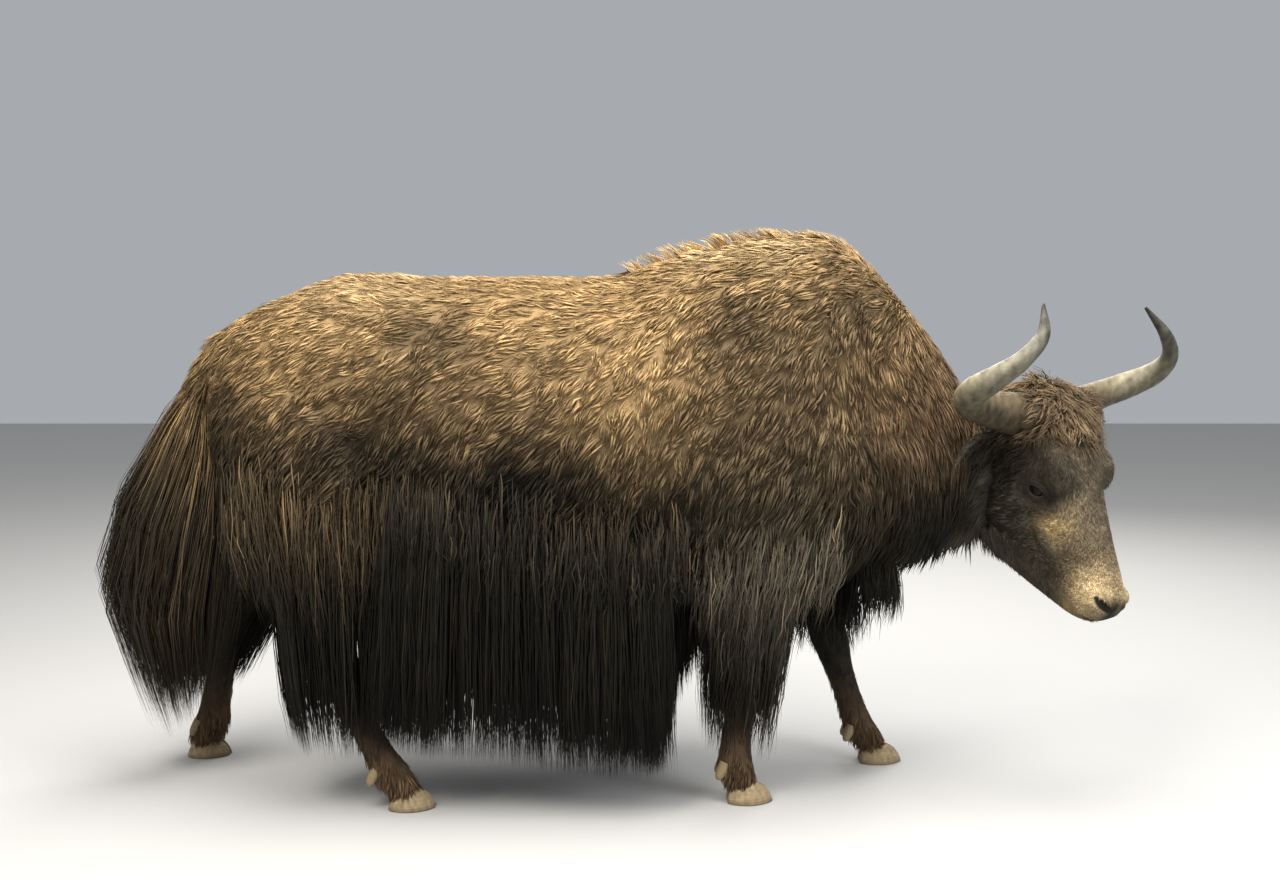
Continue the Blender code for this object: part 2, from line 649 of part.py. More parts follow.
def parted_flesh(home):
    """The flesh parted into head, neck, torso and four legs, with a clearance at every parting."""
    flesh = fused_flesh(home)
    cut_away(flesh, slab(on_head(*THROAT), THROAT_WAY, 0.42, 0.80, 2 * GAP, home))
    cut_away(flesh, slab(NECK_BASE, NECK_BASE_NORMAL, 0.45, 0.62, 2 * GAP, home))
    nodes = {}
    for name, place in (("head", on_head(0.65, 0.0, 0.0)), ("neck", Vector((1.0, 0.2, 1.05)))):
        nodes[name] = keep_nearest(copy_of(flesh, home), place)
    torso = keep_nearest(flesh, Vector((-0.4, 0.0, 1.65)))
    nodes["torso"] = torso
    for name in LEGS:
        leg = cut_away(copy_of(torso, home), leg_region(name, home), "INTERSECT")
        nodes["leg_" + name] = keep_largest(leg)
        cut_away(torso, leg_region(name, home, 2 * GAP))
    keep_largest(torso)
    return nodes


def horn_paths(hand):
    """Centres and radii along a horn, in the body's frame."""
    return [(on_head(a, b, side * hand), radius) for a, b, side, radius in smooth_rows(HORN, HORN_RINGS)]


def tube(name, stations, sides, home):
    """A closed tube through centres and radii, with rings square to its path."""
    centres = [centre for centre, _ in stations]
    rings = []
    side = None
    for i, (centre, radius) in enumerate(stations):
        along = (centres[min(i + 1, len(centres) - 1)] - centres[max(i - 1, 0)]).normalized()
        if side is None:
            side = along.orthogonal()
        side = (side - along * side.dot(along)).normalized()
        other = along.cross(side)
        ring = []
        for k in range(sides):
            t = 2 * math.pi * k / sides
            ring.append(centre + (side * math.cos(t) + other * math.sin(t)) * radius)
        rings.append(ring)
    return loft(name, rings, home)


def ear(hand, home):
    """A leaf-shaped ear with a hollow cup, closed all round."""
    root = on_head(EAR_ROOT.x, EAR_ROOT.y, EAR_ROOT.z * hand)
    tip = on_head(EAR_TIP.x, EAR_TIP.y, EAR_TIP.z * hand)
    opening = HEAD_FORWARD * EAR_OPENING.x + HEAD_UP * EAR_OPENING.y + HEAD_LEFT * EAR_OPENING.z * hand
    along = (tip - root).normalized()
    opening = (opening - along * opening.dot(along)).normalized()
    across = along.cross(opening)
    rings = []
    for i, share in enumerate(EAR_PROFILE):
        t = i / (len(EAR_PROFILE) - 1)
        half = EAR_HALF_WIDTH * share
        curl = math.radians(110 - 55 * t)
        bend = opening * (-0.030 * math.sin(math.pi * t))
        centre = root + (tip - root) * t + bend
        outer, inner = [], []
        for k in range(6):
            angle = curl * (k / 2.5 - 1)
            way = across * math.sin(angle) - opening * (math.cos(angle) * 0.75)
            outer.append(centre + way * half)
            inner.append(centre + way * max(half - EAR_THICKNESS, half * 0.35))
        rings.append(outer + inner[::-1])
    return loft("ear", rings, home)


def eye_place(hand):
    return on_head(EYE.x, EYE.y, EYE.z * hand)


def eye_ball(name, hand, home, grow=0.0):
    axes = (HEAD_FORWARD, HEAD_UP, HEAD_LEFT)
    radius = EYE_RADIUS + grow
    return ellipsoid(name, eye_place(hand), axes, (radius, radius, radius), home, rings=7, sides=10)


def lids(hand, home):
    """A slanted almond-shaped rim round an eye, sunk half into the head."""
    out = HEAD_LEFT * hand * math.cos(EYE_TURN) + HEAD_FORWARD * math.sin(EYE_TURN)
    level = HEAD_FORWARD * math.cos(EYE_TURN) - HEAD_LEFT * hand * math.sin(EYE_TURN)
    forward = level * math.cos(LID_SLANT) - HEAD_UP * math.sin(LID_SLANT)
    up = HEAD_UP * math.cos(LID_SLANT) + level * math.sin(LID_SLANT)
    rows = []
    for k in range(12):
        t = 2 * math.pi * k / 12
        reach = forward * LID_HALF_LENGTH * math.cos(t) + up * LID_HALF_HEIGHT * math.sin(t)
        middle = eye_place(hand) + reach + out * (EYE_RADIUS * 0.80 - 0.006 * abs(math.cos(t)))
        away = reach.normalized()
        row = []
        for j in range(6):
            s = 2 * math.pi * j / 6
            row.append(middle + (away * math.cos(s) + out * math.sin(s)) * LID_RADIUS)
        rows.append(row)
    bm = bmesh.new()
    grid = [[bm.verts.new(p) for p in row] for row in rows]
    for i, row in enumerate(grid):
        after = grid[(i + 1) % len(grid)]
        for j in range(6):
            k = (j + 1) % 6
            bm.faces.new((row[j], row[k], after[k], after[j]))
    return new_object("lids", bm, home)


def nostril(hand, home):
    """A cutter for one nostril, a slanted flat egg that reaches into the muzzle."""
    slant = NOSTRIL_SLANT
    long_way = HEAD_FORWARD * math.cos(slant) - HEAD_UP * math.sin(slant)
    flat_way = HEAD_UP * math.cos(slant) + HEAD_FORWARD * math.sin(slant)
    inward = HEAD_LEFT * hand
    middle = on_head(NOSTRIL.x, NOSTRIL.y, NOSTRIL.z * hand)
    return ellipsoid("nostril", middle, (long_way, flat_way, inward), NOSTRIL_SIZE, home, rings=6, sides=8)


def mouth(head, home):
    """A cutter for the line between the lips, as deep as the groove and no deeper."""
    corner, front = Vector(MOUTH_CORNER), Vector(MOUTH_FRONT)
    rise = (front - corner).normalized()
    square = Vector((-rise.y, rise.x)) * MOUTH_WIDTH / 2
    rings = []
    for side in (-0.2, 0.2):
        corners = (corner - square * 0.3, front - square, front + square, corner + square * 0.3)
        rings.append([on_head(c.x, c.y, side) for c in corners])
    plate = loft("mouth", rings, home)
    return cut_away(plate, copy_of(head, home, -MOUTH_DEPTH))


def with_face(head, home):
    """The head with its mouth, nostrils, lids and eye sockets."""
    cut_away(head, mouth(head, home))
    for hand in SIDES.values():
        cut_away(head, nostril(hand, home))
        cut_away(head, lids(hand, home), "UNION")
        cut_away(head, eye_ball("socket", hand, home, 2 * GAP))
    return keep_largest(head)


def foot_middle(name):
    """Middle of a foot on the ground."""
    _, x, y, _, _ = LEGS[name][-1]
    return Vector((x + FOOT_FORWARD, y, 0.0))


def coronet_height(forward):
    """Height of the claws' upper rim, forward of the middle of the foot."""
    t = (forward + 0.062) / 0.136
    return CORONET_HEEL + (CORONET_FRONT - CORONET_HEEL) * t


def without_sole(leg, name, home):
    """The leg ends on the sloping plane of the claws' upper rim."""
    middle = foot_middle(name)
    rings = []
    for side in (-0.2, 0.2):
        heel = middle + Vector((-0.3, side, coronet_height(-0.3)))
        toe = middle + Vector((0.3, side, coronet_height(0.3)))
        low = Vector((0, 0, -0.3))
        rings.append([heel, toe, toe + low, heel + low])
    return keep_largest(cut_away(leg, loft("below", rings, home)))


def claw(name, hand, home):
    """One claw with a flat sole, an upright wall and a sloping upper rim."""
    middle = foot_middle(name)
    rings = []
    for level, share in ((0.0, 1.0), (0.35, 0.985), (1.0, CLAW_TOP)):
        ring = []
        for x, y in CLAW_OUTLINE:
            forward = x * share - 0.004 * level
            height = (coronet_height(forward) - 2 * GAP) * level
            aside = 0.005 + (y - 0.005) * (1 - (1 - share) * 0.9)
            ring.append(middle + Vector((forward, aside * hand, height)))
        rings.append(ring)
    return loft("claw", rings, home)


def dewclaw(name, hand, home):
    """A short blunt cone behind the fetlock."""
    x, y, rx, ry = leg_at(name, DEWCLAW_HEIGHT)
    root = Vector((x - rx * 0.55, y + hand * ry * 0.45, DEWCLAW_HEIGHT + 0.012))
    way = Vector((-0.85, hand * 0.25, -0.55)).normalized()
    stations = [(root + way * reach, DEWCLAW_RADIUS * share)
                for reach, share in ((0.0, 1.0), (0.040, 1.0), (0.062, 0.45))]
    return tube("dewclaw", stations, 6, home)


def tail_core(home):
    stations = [(Vector(row[:3]), row[3]) for row in smooth_rows(TAIL, 18)]
    return tube("tail", stations, 12, home)


def skirt_guides(rows, hand):
    """Four places from root to tip for each skirt station of one side."""
    root, out, middle, tip = SKIRT_STAND
    guides = []
    for x0, z0, x1, z1 in rows:
        guides.append((
            (x0, root * hand, z0),
            (x0 + (x1 - x0) * 0.15, out * hand, z0 - 0.13),
            (x0 + (x1 - x0) * 0.55, middle * hand, (z0 + z1) / 2 - 0.03),
            (x1, tip * hand, z1),
        ))
    return guides


def fore_guides(name, rows):
    """Eight guides round a fore leg, each through four places from root to tip."""
    guides = []
    for k in range(8):
        t = 2 * math.pi * k / 8
        guide = []
        for z, along, aside in rows:
            x, y, _, _ = leg_at(name, z)
            guide.append((x + along * math.cos(t), y + aside * math.sin(t), z))
        guides.append(guide)
    return guides


def guide_between(guides, s, closed):
    """The four places of a guide at s, from 0 at the first guide to 1 at the last."""
    table = np.array(guides, float)
    if closed:
        table = np.concatenate([table, table[:1]])
    step = min(max(s, 0.0), 1.0) * (len(table) - 1)
    i = min(int(step), len(table) - 2)
    return table[i] + (table[i + 1] - table[i]) * (step - i)


def lock(places, across, width, thickness, home):
    """One flat lock along a bent path: diamond-shaped rings that narrow to a point."""
    path = [Vector(p) for p in smooth_rows(places, 21)]
    rings = []
    for t, share in LOCK_SHAPE:
        i = round(t * 20)
        along = (path[min(i + 1, 20)] - path[max(i - 1, 0)]).normalized()
        side = (across - along * across.dot(along)).normalized()
        square = along.cross(side)
        half, thick = width * share / 2, thickness * (0.4 + 0.6 * share) / 2
        corners = (side * half, square * thick, -side * half, -square * thick)
        rings.append([path[i] + corner for corner in corners])
    return loft("lock", rings, home, path[-1])


def locks(name, guides, closed, home):
    """Locks spread in tiers over a group of guides, each a little unlike its neighbours."""
    dice = random.Random(name)
    table = np.array(guides, float)
    made = []
    for count, draw_in, width, thickness, sway in TIERS[name]:
        for i in range(count):
            s = (i + 0.5 + dice.uniform(-0.12, 0.12)) / count
            places = guide_between(guides, s, closed)
            core = table.mean(axis=0) if closed else places * (1, 0, 1)
            across = guide_between(guides, s + 0.04, closed) - guide_between(guides, s - 0.04, closed)
            across = Vector(across[1] + across[2]).normalized()
            places[1:] = core[1:] + (places[1:] - core[1:]) * draw_in
            square = across.cross(Vector(places[2] - places[1])).normalized()
            places[1:] += np.array(square) * thickness * (0.62 if i % 2 else -0.62)
            bend = np.array(across) * dice.uniform(-sway, sway)
            places[2] += bend * 0.5
            places[3] += bend
            places[3] += (places[2] - places[3]) * dice.uniform(-0.04, 0.22)
            made.append(lock(places, across, width * dice.uniform(0.85, 1.15), thickness, home))
    return made


def crest_guides():
    """Short bristles along the ridge of the hump, leaning back."""
    guides = []
    for x, top in CREST:
        guides.append([(x + CREST_LEAN * f, 0.0, top + rise) for f, rise in CREST_RISE])
    return guides


def forelock_guides(rows):
    """A row of curls across the poll, from right to left."""
    guides = []
    for side in (-0.052, -0.018, 0.018, 0.052):
        guides.append([tuple(on_head(a, b, side * spread)) for a, b, spread in rows])
    return guides


def coat_locks(home):
    """The long coat's locks, by the node they grow on."""
    return {
        "torso": locks("skirt_right", skirt_guides(SKIRT_RIGHT, RIGHT), False, home)
        + locks("skirt_left", skirt_guides(SKIRT_LEFT, LEFT), False, home)
        + locks("brisket", BRISKET_HAIR, False, home)
        + locks("crest", crest_guides(), False, home),
        "head": locks("forelock", forelock_guides(FORELOCK), False, home)
        + locks("topknot", forelock_guides(TOPKNOT), False, home),
        "leg_hind_right": locks("breech", BREECH_RIGHT, False, home),
        "leg_hind_left": locks("breech", BREECH_LEFT, False, home),
        "leg_fore_right": locks("fore_right", fore_guides("fore_right", FORE_HAIR_RIGHT), True, home),
        "leg_fore_left": locks("fore_left", fore_guides("fore_left", FORE_HAIR_LEFT), True, home),
        "tail": locks("tail", TAIL_HAIR, True, home),
    }


def fused_with(node, pieces):
    """Joins a node with the pieces that grow on it, by one union."""
    group = bpy.data.collections.new("pieces")
    for piece in pieces:
        group.objects.link(piece)
    boolean(node, group, "UNION")
    for piece in pieces:
        bpy.data.objects.remove(piece)
    bpy.data.collections.remove(group)
    return keep_largest(node)


# Colour and roughness by kind of node
FINISHES = {
    "torso": ((0.150, 0.090, 0.050), 0.85),
    "neck": ((0.100, 0.055, 0.030), 0.85),
    "head": ((0.085, 0.055, 0.035), 0.80),
    "leg": ((0.040, 0.026, 0.018), 0.85),
    "tail": ((0.025, 0.018, 0.014), 0.85),
    "ear": ((0.060, 0.040, 0.028), 0.80),
    "eye": ((0.010, 0.007, 0.005), 0.10),
    "horn": ((0.200, 0.170, 0.115), 0.45),
    "claw": ((0.300, 0.240, 0.160), 0.50),
    "dewclaw": ((0.340, 0.270, 0.180), 0.50),
}


def finished(node, name):
    """Names a node, gives it its own material and moves it into the shared frame."""
    node.name = name
    node.data.name = name
    colour, roughness = FINISHES[name.split("_")[0]]
    material = bpy.data.materials.new(name)
    material.use_nodes = True
    shader = material.node_tree.nodes["Principled BSDF"]
    shader.inputs["Base Color"].default_value = (*colour, 1.0)
    shader.inputs["Roughness"].default_value = roughness
    shader.inputs["Metallic"].default_value = 0.0
    node.data.materials.clear()
    node.data.materials.append(material)
    node.data.transform(Matrix.Translation(CENTRING))
    return node


def main():
    for old in list(bpy.data.objects):
        bpy.data.objects.remove(old)
    home = bpy.data.collections.new("yak")
    bpy.context.scene.collection.children.link(home)
    nodes = parted_flesh(home)
    nodes["head"] = with_face(nodes["head"], home)
    for word, hand in SIDES.items():
        nodes["eye_" + word] = eye_ball("eye", hand, home)
        horn = tube("horn", horn_paths(hand), HORN_SIDES, home)
        nodes["horn_" + word] = seated_on(horn, nodes["head"], home)
        nodes["ear_" + word] = seated_on(ear(hand, home), nodes["head"], home)
        seated_on(nodes["ear_" + word], nodes["neck"], home)
    nodes["tail"] = tail_core(home)
    bare_torso = copy_of(nodes["torso"], home)
    for node, pieces in coat_locks(home).items():
        fused_with(nodes[node], pieces)
    seated_on(nodes["tail"], bare_torso, home)
    bpy.data.objects.remove(bare_torso)
    for name in LEGS:
        leg = without_sole(nodes["leg_" + name], name, home)
        outward = SIDES[name.split("_")[1]]
        for word, hand in (("inner", -outward), ("outer", outward)):
            nodes[f"claw_{name}_{word}"] = claw(name, hand, home)
            nodes[f"dewclaw_{name}_{word}"] = seated_on(dewclaw(name, hand, home), leg, home)
    for name, node in nodes.items():
        finished(node, name)


main()
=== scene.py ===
"""Looks of the wild yak bull: one skin under a coat of mesh tufts and strands, with eyes, horns and claws.

The animal faces +X and its right side faces -Y. The tables give places in the body's own frame, as the
solids have them, and every finished mesh is moved by CENTRING into the shared frame. Units are metres.
Each tuft or strand is a closed three-sided spike along a path of points, made in arrays.
"""

import math

import bmesh
import bpy
import numpy as np
from mathutils import Matrix, Vector, kdtree


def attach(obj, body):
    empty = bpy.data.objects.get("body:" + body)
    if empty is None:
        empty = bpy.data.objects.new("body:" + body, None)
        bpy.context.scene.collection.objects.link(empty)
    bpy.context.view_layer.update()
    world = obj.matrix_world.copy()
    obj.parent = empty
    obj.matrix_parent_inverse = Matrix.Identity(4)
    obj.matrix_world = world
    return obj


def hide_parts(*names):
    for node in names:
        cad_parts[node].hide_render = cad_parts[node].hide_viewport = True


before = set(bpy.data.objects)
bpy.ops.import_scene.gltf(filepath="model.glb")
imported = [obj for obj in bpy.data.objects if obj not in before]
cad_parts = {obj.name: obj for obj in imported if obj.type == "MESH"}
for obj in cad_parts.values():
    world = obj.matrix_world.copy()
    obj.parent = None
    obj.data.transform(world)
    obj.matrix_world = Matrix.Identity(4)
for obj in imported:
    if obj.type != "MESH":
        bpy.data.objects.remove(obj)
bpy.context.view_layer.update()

CENTRING = Vector((0.010, 0.052, 0.0))
RIGHT = -1
LEFT = 1
SIDES = {"right": RIGHT, "left": LEFT}

# How finely the skin is made: voxel sizes of body and head
BODY_VOXEL = 0.0150
HEAD_VOXEL = 0.0047
# How finely parts are lofted: points round a ring and rings along a part
RING_SIDES = 36
BODY_RINGS = 60
THIN_RINGS = 30
EGG_RINGS = 16
EGG_SIDES = 24
TAIL_SIDES = 20
NOSTRIL_SIDES = 16
NOSTRIL_STEPS = 12
# Peak of a ring's lower half, peak of the neck's upper half, and how the head's sides draw in below
BELLY_PEAK = 0.9
NECK_PEAK = 1.15
JAW_TAPER = 1.5
# Passes of smoothing on the body, the head before and after carving, and the throat
BODY_PASSES = 6
HEAD_PASSES = 60
CARVED_PASSES = 2
THROAT_PASSES = 18
# How far the skin lies inside the outline of the coat
DEPTH = {"torso": 0.030, "neck": 0.032, "head": 0.006, "leg_top": 0.030, "leg_low": 0.006, "foot": 0.020,
         "tail": 0.010}
# Heights between which the depth on a leg goes from foot to shin, and from shin to thigh
LEG_DEPTH_HEIGHTS = (0.045, 0.11, 0.35, 0.80)

# Head pose
HEAD_TURN = math.radians(45.6)
HEAD_PITCH = math.radians(65.7)
HEAD_ROLL = math.radians(-3.1)
POLL = Vector((1.278, -0.129, 1.249))
# Plane between head and neck
THROAT = (-0.040, -0.032)
THROAT_NORMAL = (0.78, 0.63)
# Torso stations: x, height of the widest line, reach up, reach down, half width, peak of the upper half
TORSO = (
    (-1.345, 1.23, 0.10, 0.16, 0.08, 1.0),
    (-1.315, 1.22, 0.23, 0.27, 0.20, 1.0),
    (-1.240, 1.20, 0.33, 0.37, 0.28, 1.0),
    (-1.100, 1.17, 0.425, 0.43, 0.345, 1.0),
    (-0.900, 1.13, 0.53, 0.45, 0.395, 1.05),
    (-0.650, 1.06, 0.59, 0.43, 0.440, 1.05),
    (-0.350, 1.01, 0.64, 0.42, 0.462, 1.1),
    (-0.080, 0.99, 0.665, 0.41, 0.462, 1.2),
    (0.120, 1.00, 0.715, 0.41, 0.450, 1.18),
    (0.340, 1.02, 0.740, 0.42, 0.440, 1.18),
    (0.530, 1.04, 0.742, 0.42, 0.410, 1.18),
    (0.640, 1.06, 0.700, 0.41, 0.370, 1.18),
    (0.740, 1.08, 0.590, 0.38, 0.310, 1.15),
    (0.840, 1.09, 0.450, 0.33, 0.240, 1.1),
    (0.900, 1.09, 0.340, 0.26, 0.170, 1.0),
)

# Neck stations: centre x, y, z, tilt of the ring, reach up, reach down, half width
NECK = (
    (0.560, 0.000, 1.130, 0, 0.50, 0.42, 0.330),
    (0.700, 0.000, 1.110, 0, 0.580, 0.405, 0.325),
    (0.820, -0.005, 1.085, 2, 0.485, 0.370, 0.295),
    (0.910, -0.020, 1.055, 5, 0.365, 0.335, 0.240),
    (1.000, -0.042, 1.040, 9, 0.240, 0.295, 0.172),
    (1.090, -0.062, 1.035, 13, 0.205, 0.275, 0.114),
    (1.150, -0.070, 1.040, 17, 0.160, 0.230, 0.086),
    (1.200, -0.080, 1.050, 20, 0.100, 0.165, 0.060),
)

# Head stations: forward from the poll, height of the widest line, reach up, reach down,
# half width, squareness of the brow (below 1 is squarer), narrowing towards the jaw
HEAD = (
    (-0.070, -0.080, 0.085, 0.10, 0.095, 0.85, 0.10),
    (-0.030, -0.080, 0.112, 0.17, 0.130, 0.80, 0.15),
    (0.030, -0.070, 0.122, 0.22, 0.148, 0.72, 0.20),
    (0.100, -0.070, 0.134, 0.265, 0.154, 0.66, 0.25),
    (0.180, -0.070, 0.134, 0.298, 0.154, 0.64, 0.30),
    (0.250, -0.075, 0.124, 0.315, 0.146, 0.64, 0.35),
    (0.330, -0.085, 0.118, 0.305, 0.124, 0.68, 0.40),
    (0.420, -0.090, 0.112, 0.262, 0.106, 0.74, 0.40),
    (0.510, -0.090, 0.102, 0.202, 0.095, 0.78, 0.35),
    (0.580, -0.090, 0.095, 0.150, 0.092, 0.82, 0.30),
    (0.635, -0.090, 0.084, 0.106, 0.088, 0.85, 0.25),
    (0.670, -0.085, 0.062, 0.070, 0.070, 0.85, 0.20),
    (0.690, -0.078, 0.036, 0.038, 0.042, 0.90, 0.10),
)

# Rounded masses fused into the head: centre forward, up, sideways, and half sizes along the same
HEAD_MASSES = (
    (0.230, -0.008, 0.121, 0.080, 0.068, 0.040),
    (0.235, -0.185, 0.090, 0.125, 0.115, 0.045),
    (0.370, -0.130, 0.082, 0.110, 0.042, 0.032),
    (0.635, -0.060, 0.054, 0.048, 0.050, 0.042),
    (0.600, -0.120, 0.052, 0.065, 0.038, 0.040),
)

# Leg stations, from the shoulder or haunch down: z, x, y, half length along x, half width along y
LEG_FORE_RIGHT = (
    (1.330, 0.500, -0.170, 0.14, 0.10),
    (1.200, 0.510, -0.240, 0.20, 0.150),
    (1.050, 0.500, -0.275, 0.22, 0.160),
    (0.900, 0.450, -0.275, 0.195, 0.145),
    (0.760, 0.390, -0.255, 0.150, 0.120),
    (0.620, 0.345, -0.235, 0.105, 0.092),
    (0.500, 0.325, -0.225, 0.080, 0.074),
    (0.420, 0.320, -0.220, 0.078, 0.072),
    (0.340, 0.312, -0.215, 0.060, 0.058),
    (0.240, 0.302, -0.210, 0.052, 0.050),
    (0.160, 0.298, -0.208, 0.058, 0.056),
    (0.110, 0.300, -0.208, 0.066, 0.062),
    (0.060, 0.316, -0.208, 0.066, 0.062),
    (0.030, 0.322, -0.208, 0.060, 0.056),
)
LEG_FORE_LEFT = (
    (1.330, 0.500, 0.170, 0.14, 0.10),
    (1.200, 0.530, 0.240, 0.20, 0.150),
    (1.050, 0.550, 0.275, 0.21, 0.160),
    (0.900, 0.545, 0.275, 0.185, 0.145),
    (0.760, 0.545, 0.255, 0.150, 0.120),
    (0.620, 0.575, 0.240, 0.105, 0.092),
    (0.500, 0.615, 0.235, 0.080, 0.074),
    (0.420, 0.635, 0.232, 0.076, 0.072),
    (0.340, 0.660, 0.230, 0.060, 0.058),
    (0.240, 0.695, 0.230, 0.053, 0.050),
    (0.160, 0.725, 0.230, 0.060, 0.056),
    (0.110, 0.750, 0.230, 0.068, 0.062),
    (0.060, 0.782, 0.230, 0.068, 0.062),
    (0.030, 0.790, 0.230, 0.060, 0.056),
)
LEG_HIND_RIGHT = (
    (1.400, -1.000, -0.170, 0.18, 0.10),
    (1.250, -1.020, -0.235, 0.25, 0.145),
    (1.080, -0.985, -0.265, 0.275, 0.165),
    (0.920, -0.930, -0.275, 0.250, 0.155),
    (0.790, -0.900, -0.275, 0.200, 0.130),
    (0.670, -0.915, -0.270, 0.145, 0.102),
    (0.560, -0.950, -0.268, 0.100, 0.078),
    (0.480, -0.955, -0.266, 0.088, 0.072),
    (0.390, -0.920, -0.266, 0.066, 0.058),
    (0.280, -0.862, -0.268, 0.055, 0.052),
    (0.180, -0.808, -0.270, 0.058, 0.055),
    (0.115, -0.768, -0.272, 0.068, 0.062),
    (0.060, -0.730, -0.275, 0.068, 0.062),
    (0.030, -0.720, -0.275, 0.060, 0.056),
)
LEG_HIND_LEFT = (
    (1.400, -1.020, 0.170, 0.18, 0.10),
    (1.250, -1.060, 0.235, 0.235, 0.145),
    (1.080, -1.080, 0.265, 0.245, 0.165),
    (0.920, -1.095, 0.280, 0.230, 0.155),
    (0.790, -1.140, 0.285, 0.185, 0.130),
    (0.670, -1.225, 0.290, 0.140, 0.102),
    (0.560, -1.330, 0.292, 0.100, 0.078),
    (0.480, -1.385, 0.294, 0.086, 0.072),
    (0.390, -1.410, 0.296, 0.064, 0.058),
    (0.280, -1.430, 0.298, 0.055, 0.052),
    (0.180, -1.448, 0.300, 0.058, 0.055),
    (0.115, -1.462, 0.302, 0.068, 0.062),
    (0.060, -1.484, 0.304, 0.068, 0.062),
    (0.030, -1.490, 0.304, 0.060, 0.056),
)
LEGS = {
    "fore_right": LEG_FORE_RIGHT,
    "fore_left": LEG_FORE_LEFT,
    "hind_right": LEG_HIND_RIGHT,
    "hind_left": LEG_HIND_LEFT,
}

# Horn centre line on the head: forward, up and sideways from the poll, and the horn's radius there
HORN = (
    (0.045, -0.015, 0.070, 0.066),
    (0.040, -0.020, 0.168, 0.070),
    (0.000, -0.062, 0.282, 0.056),
    (-0.020, -0.044, 0.405, 0.049),
    (-0.026, 0.031, 0.482, 0.045),
    (-0.031, 0.120, 0.500, 0.038),
    (-0.055, 0.200, 0.462, 0.029),
    (-0.110, 0.244, 0.390, 0.022),
    (-0.205, 0.244, 0.322, 0.005),
)

# Ear: where its root sits on the head, where its tip is, the way its cup opens, and its sizes
EAR_ROOT = Vector((0.080, -0.110, 0.120))
EAR_TIP = Vector((0.145, -0.200, 0.365))
EAR_OPENING = Vector((0.85, 0.05, 0.45))
EAR_HALF_WIDTH = 0.044
EAR_THICKNESS = 0.010
# Rings along the ear, how far its edge lies inside the solid's, and how far it bows back half way
EAR_RINGS = 19
EAR_TRIM = 0.004
EAR_BOW = 0.030
# How far the cup curls round at the root, and how much less at the tip, in degrees
EAR_CURL = (110, 55)
# Shares of the ear's half width from root to tip
EAR_PROFILE = (0.42, 0.72, 0.96, 1.0, 0.84, 0.50, 0.14)

# Claws: outline of one claw seen from above, from the heel round the outer wall to the toe
CLAW_OUTLINE = ((-0.062, 0.006), (-0.060, 0.040), (-0.030, 0.060), (0.010, 0.063), (0.048, 0.046),
                (0.074, 0.018), (0.072, 0.006), (0.010, 0.005))
# How far the heel lies behind the middle of a foot, the foot's length, and the middle ahead of the leg's end
FOOT_HEEL = 0.062
FOOT_LENGTH = 0.136
FOOT_FORWARD = 0.012
# Height of the claws' upper rim in front and at the heel, and how much of it their bare horn reaches
CORONET_FRONT = 0.078
CORONET_HEEL = 0.046
CLAW_CROWN = 0.96
# How close the growth rings of a claw are, and its width at levels from the sole to the rim
CLAW_RINGS = 44
CLAW_LEVELS = (0.0, 0.03, 0.30, 0.60, 0.85, 1.0)
CLAW_SHARES = (0.97, 1.0, 0.93, 0.76, 0.50, 0.24)
# Dewclaws: height of their roots, radius, length, and how finely they are made
DEWCLAW_HEIGHT = 0.115
DEWCLAW_RADIUS = 0.017
DEWCLAW_LENGTH = 0.058
DEWCLAW_RINGS = 24
DEWCLAW_SIDES = 28
# A dewclaw's radius at steps along it
DEWCLAW_STEPS = (0, 0.5, 0.8, 0.95, 1.0)
DEWCLAW_SHARES = (0.98, 0.95, 0.78, 0.48, 0.25)

# Tail core stations: x, y, z and radius
TAIL = (
    (-1.235, 0.000, 1.440, 0.060),
    (-1.315, 0.000, 1.400, 0.062),
    (-1.375, 0.000, 1.310, 0.060),
    (-1.440, 0.000, 1.180, 0.064),
    (-1.500, 0.000, 1.020, 0.068),
    (-1.545, 0.000, 0.860, 0.062),
    (-1.570, 0.000, 0.720, 0.045),
    (-1.575, 0.000, 0.620, 0.020),
)

# Skirt of each side: x and z of the root, x and z of the tip
SKIRT_RIGHT = (
    (-0.750, 0.985, -0.785, 0.200),
    (-0.640, 0.985, -0.690, 0.200),
    (-0.560, 1.000, -0.600, 0.185),
    (-0.400, 0.965, -0.400, 0.165),
    (-0.235, 0.912, -0.235, 0.140),
    (-0.100, 0.875, -0.100, 0.125),
    (0.000, 0.852, 0.015, 0.130),
    (0.040, 0.838, 0.055, 0.140),
    (0.085, 0.822, 0.075, 0.260),
)
SKIRT_LEFT = (
    (-0.860, 0.985, -0.880, 0.330),
    (-0.700, 1.000, -0.700, 0.190),
    (-0.450, 0.965, -0.450, 0.165),
    (-0.235, 0.912, -0.235, 0.140),
    (-0.050, 0.875, -0.060, 0.125),
    (0.100, 0.840, 0.110, 0.170),
    (0.220, 0.810, 0.210, 0.330),
    (0.300, 0.795, 0.280, 0.420),
)
# How far the skirt stands from the midplane: at its root, a little below, half way and at the tip
SKIRT_STAND = (0.385, 0.482, 0.478, 0.440)
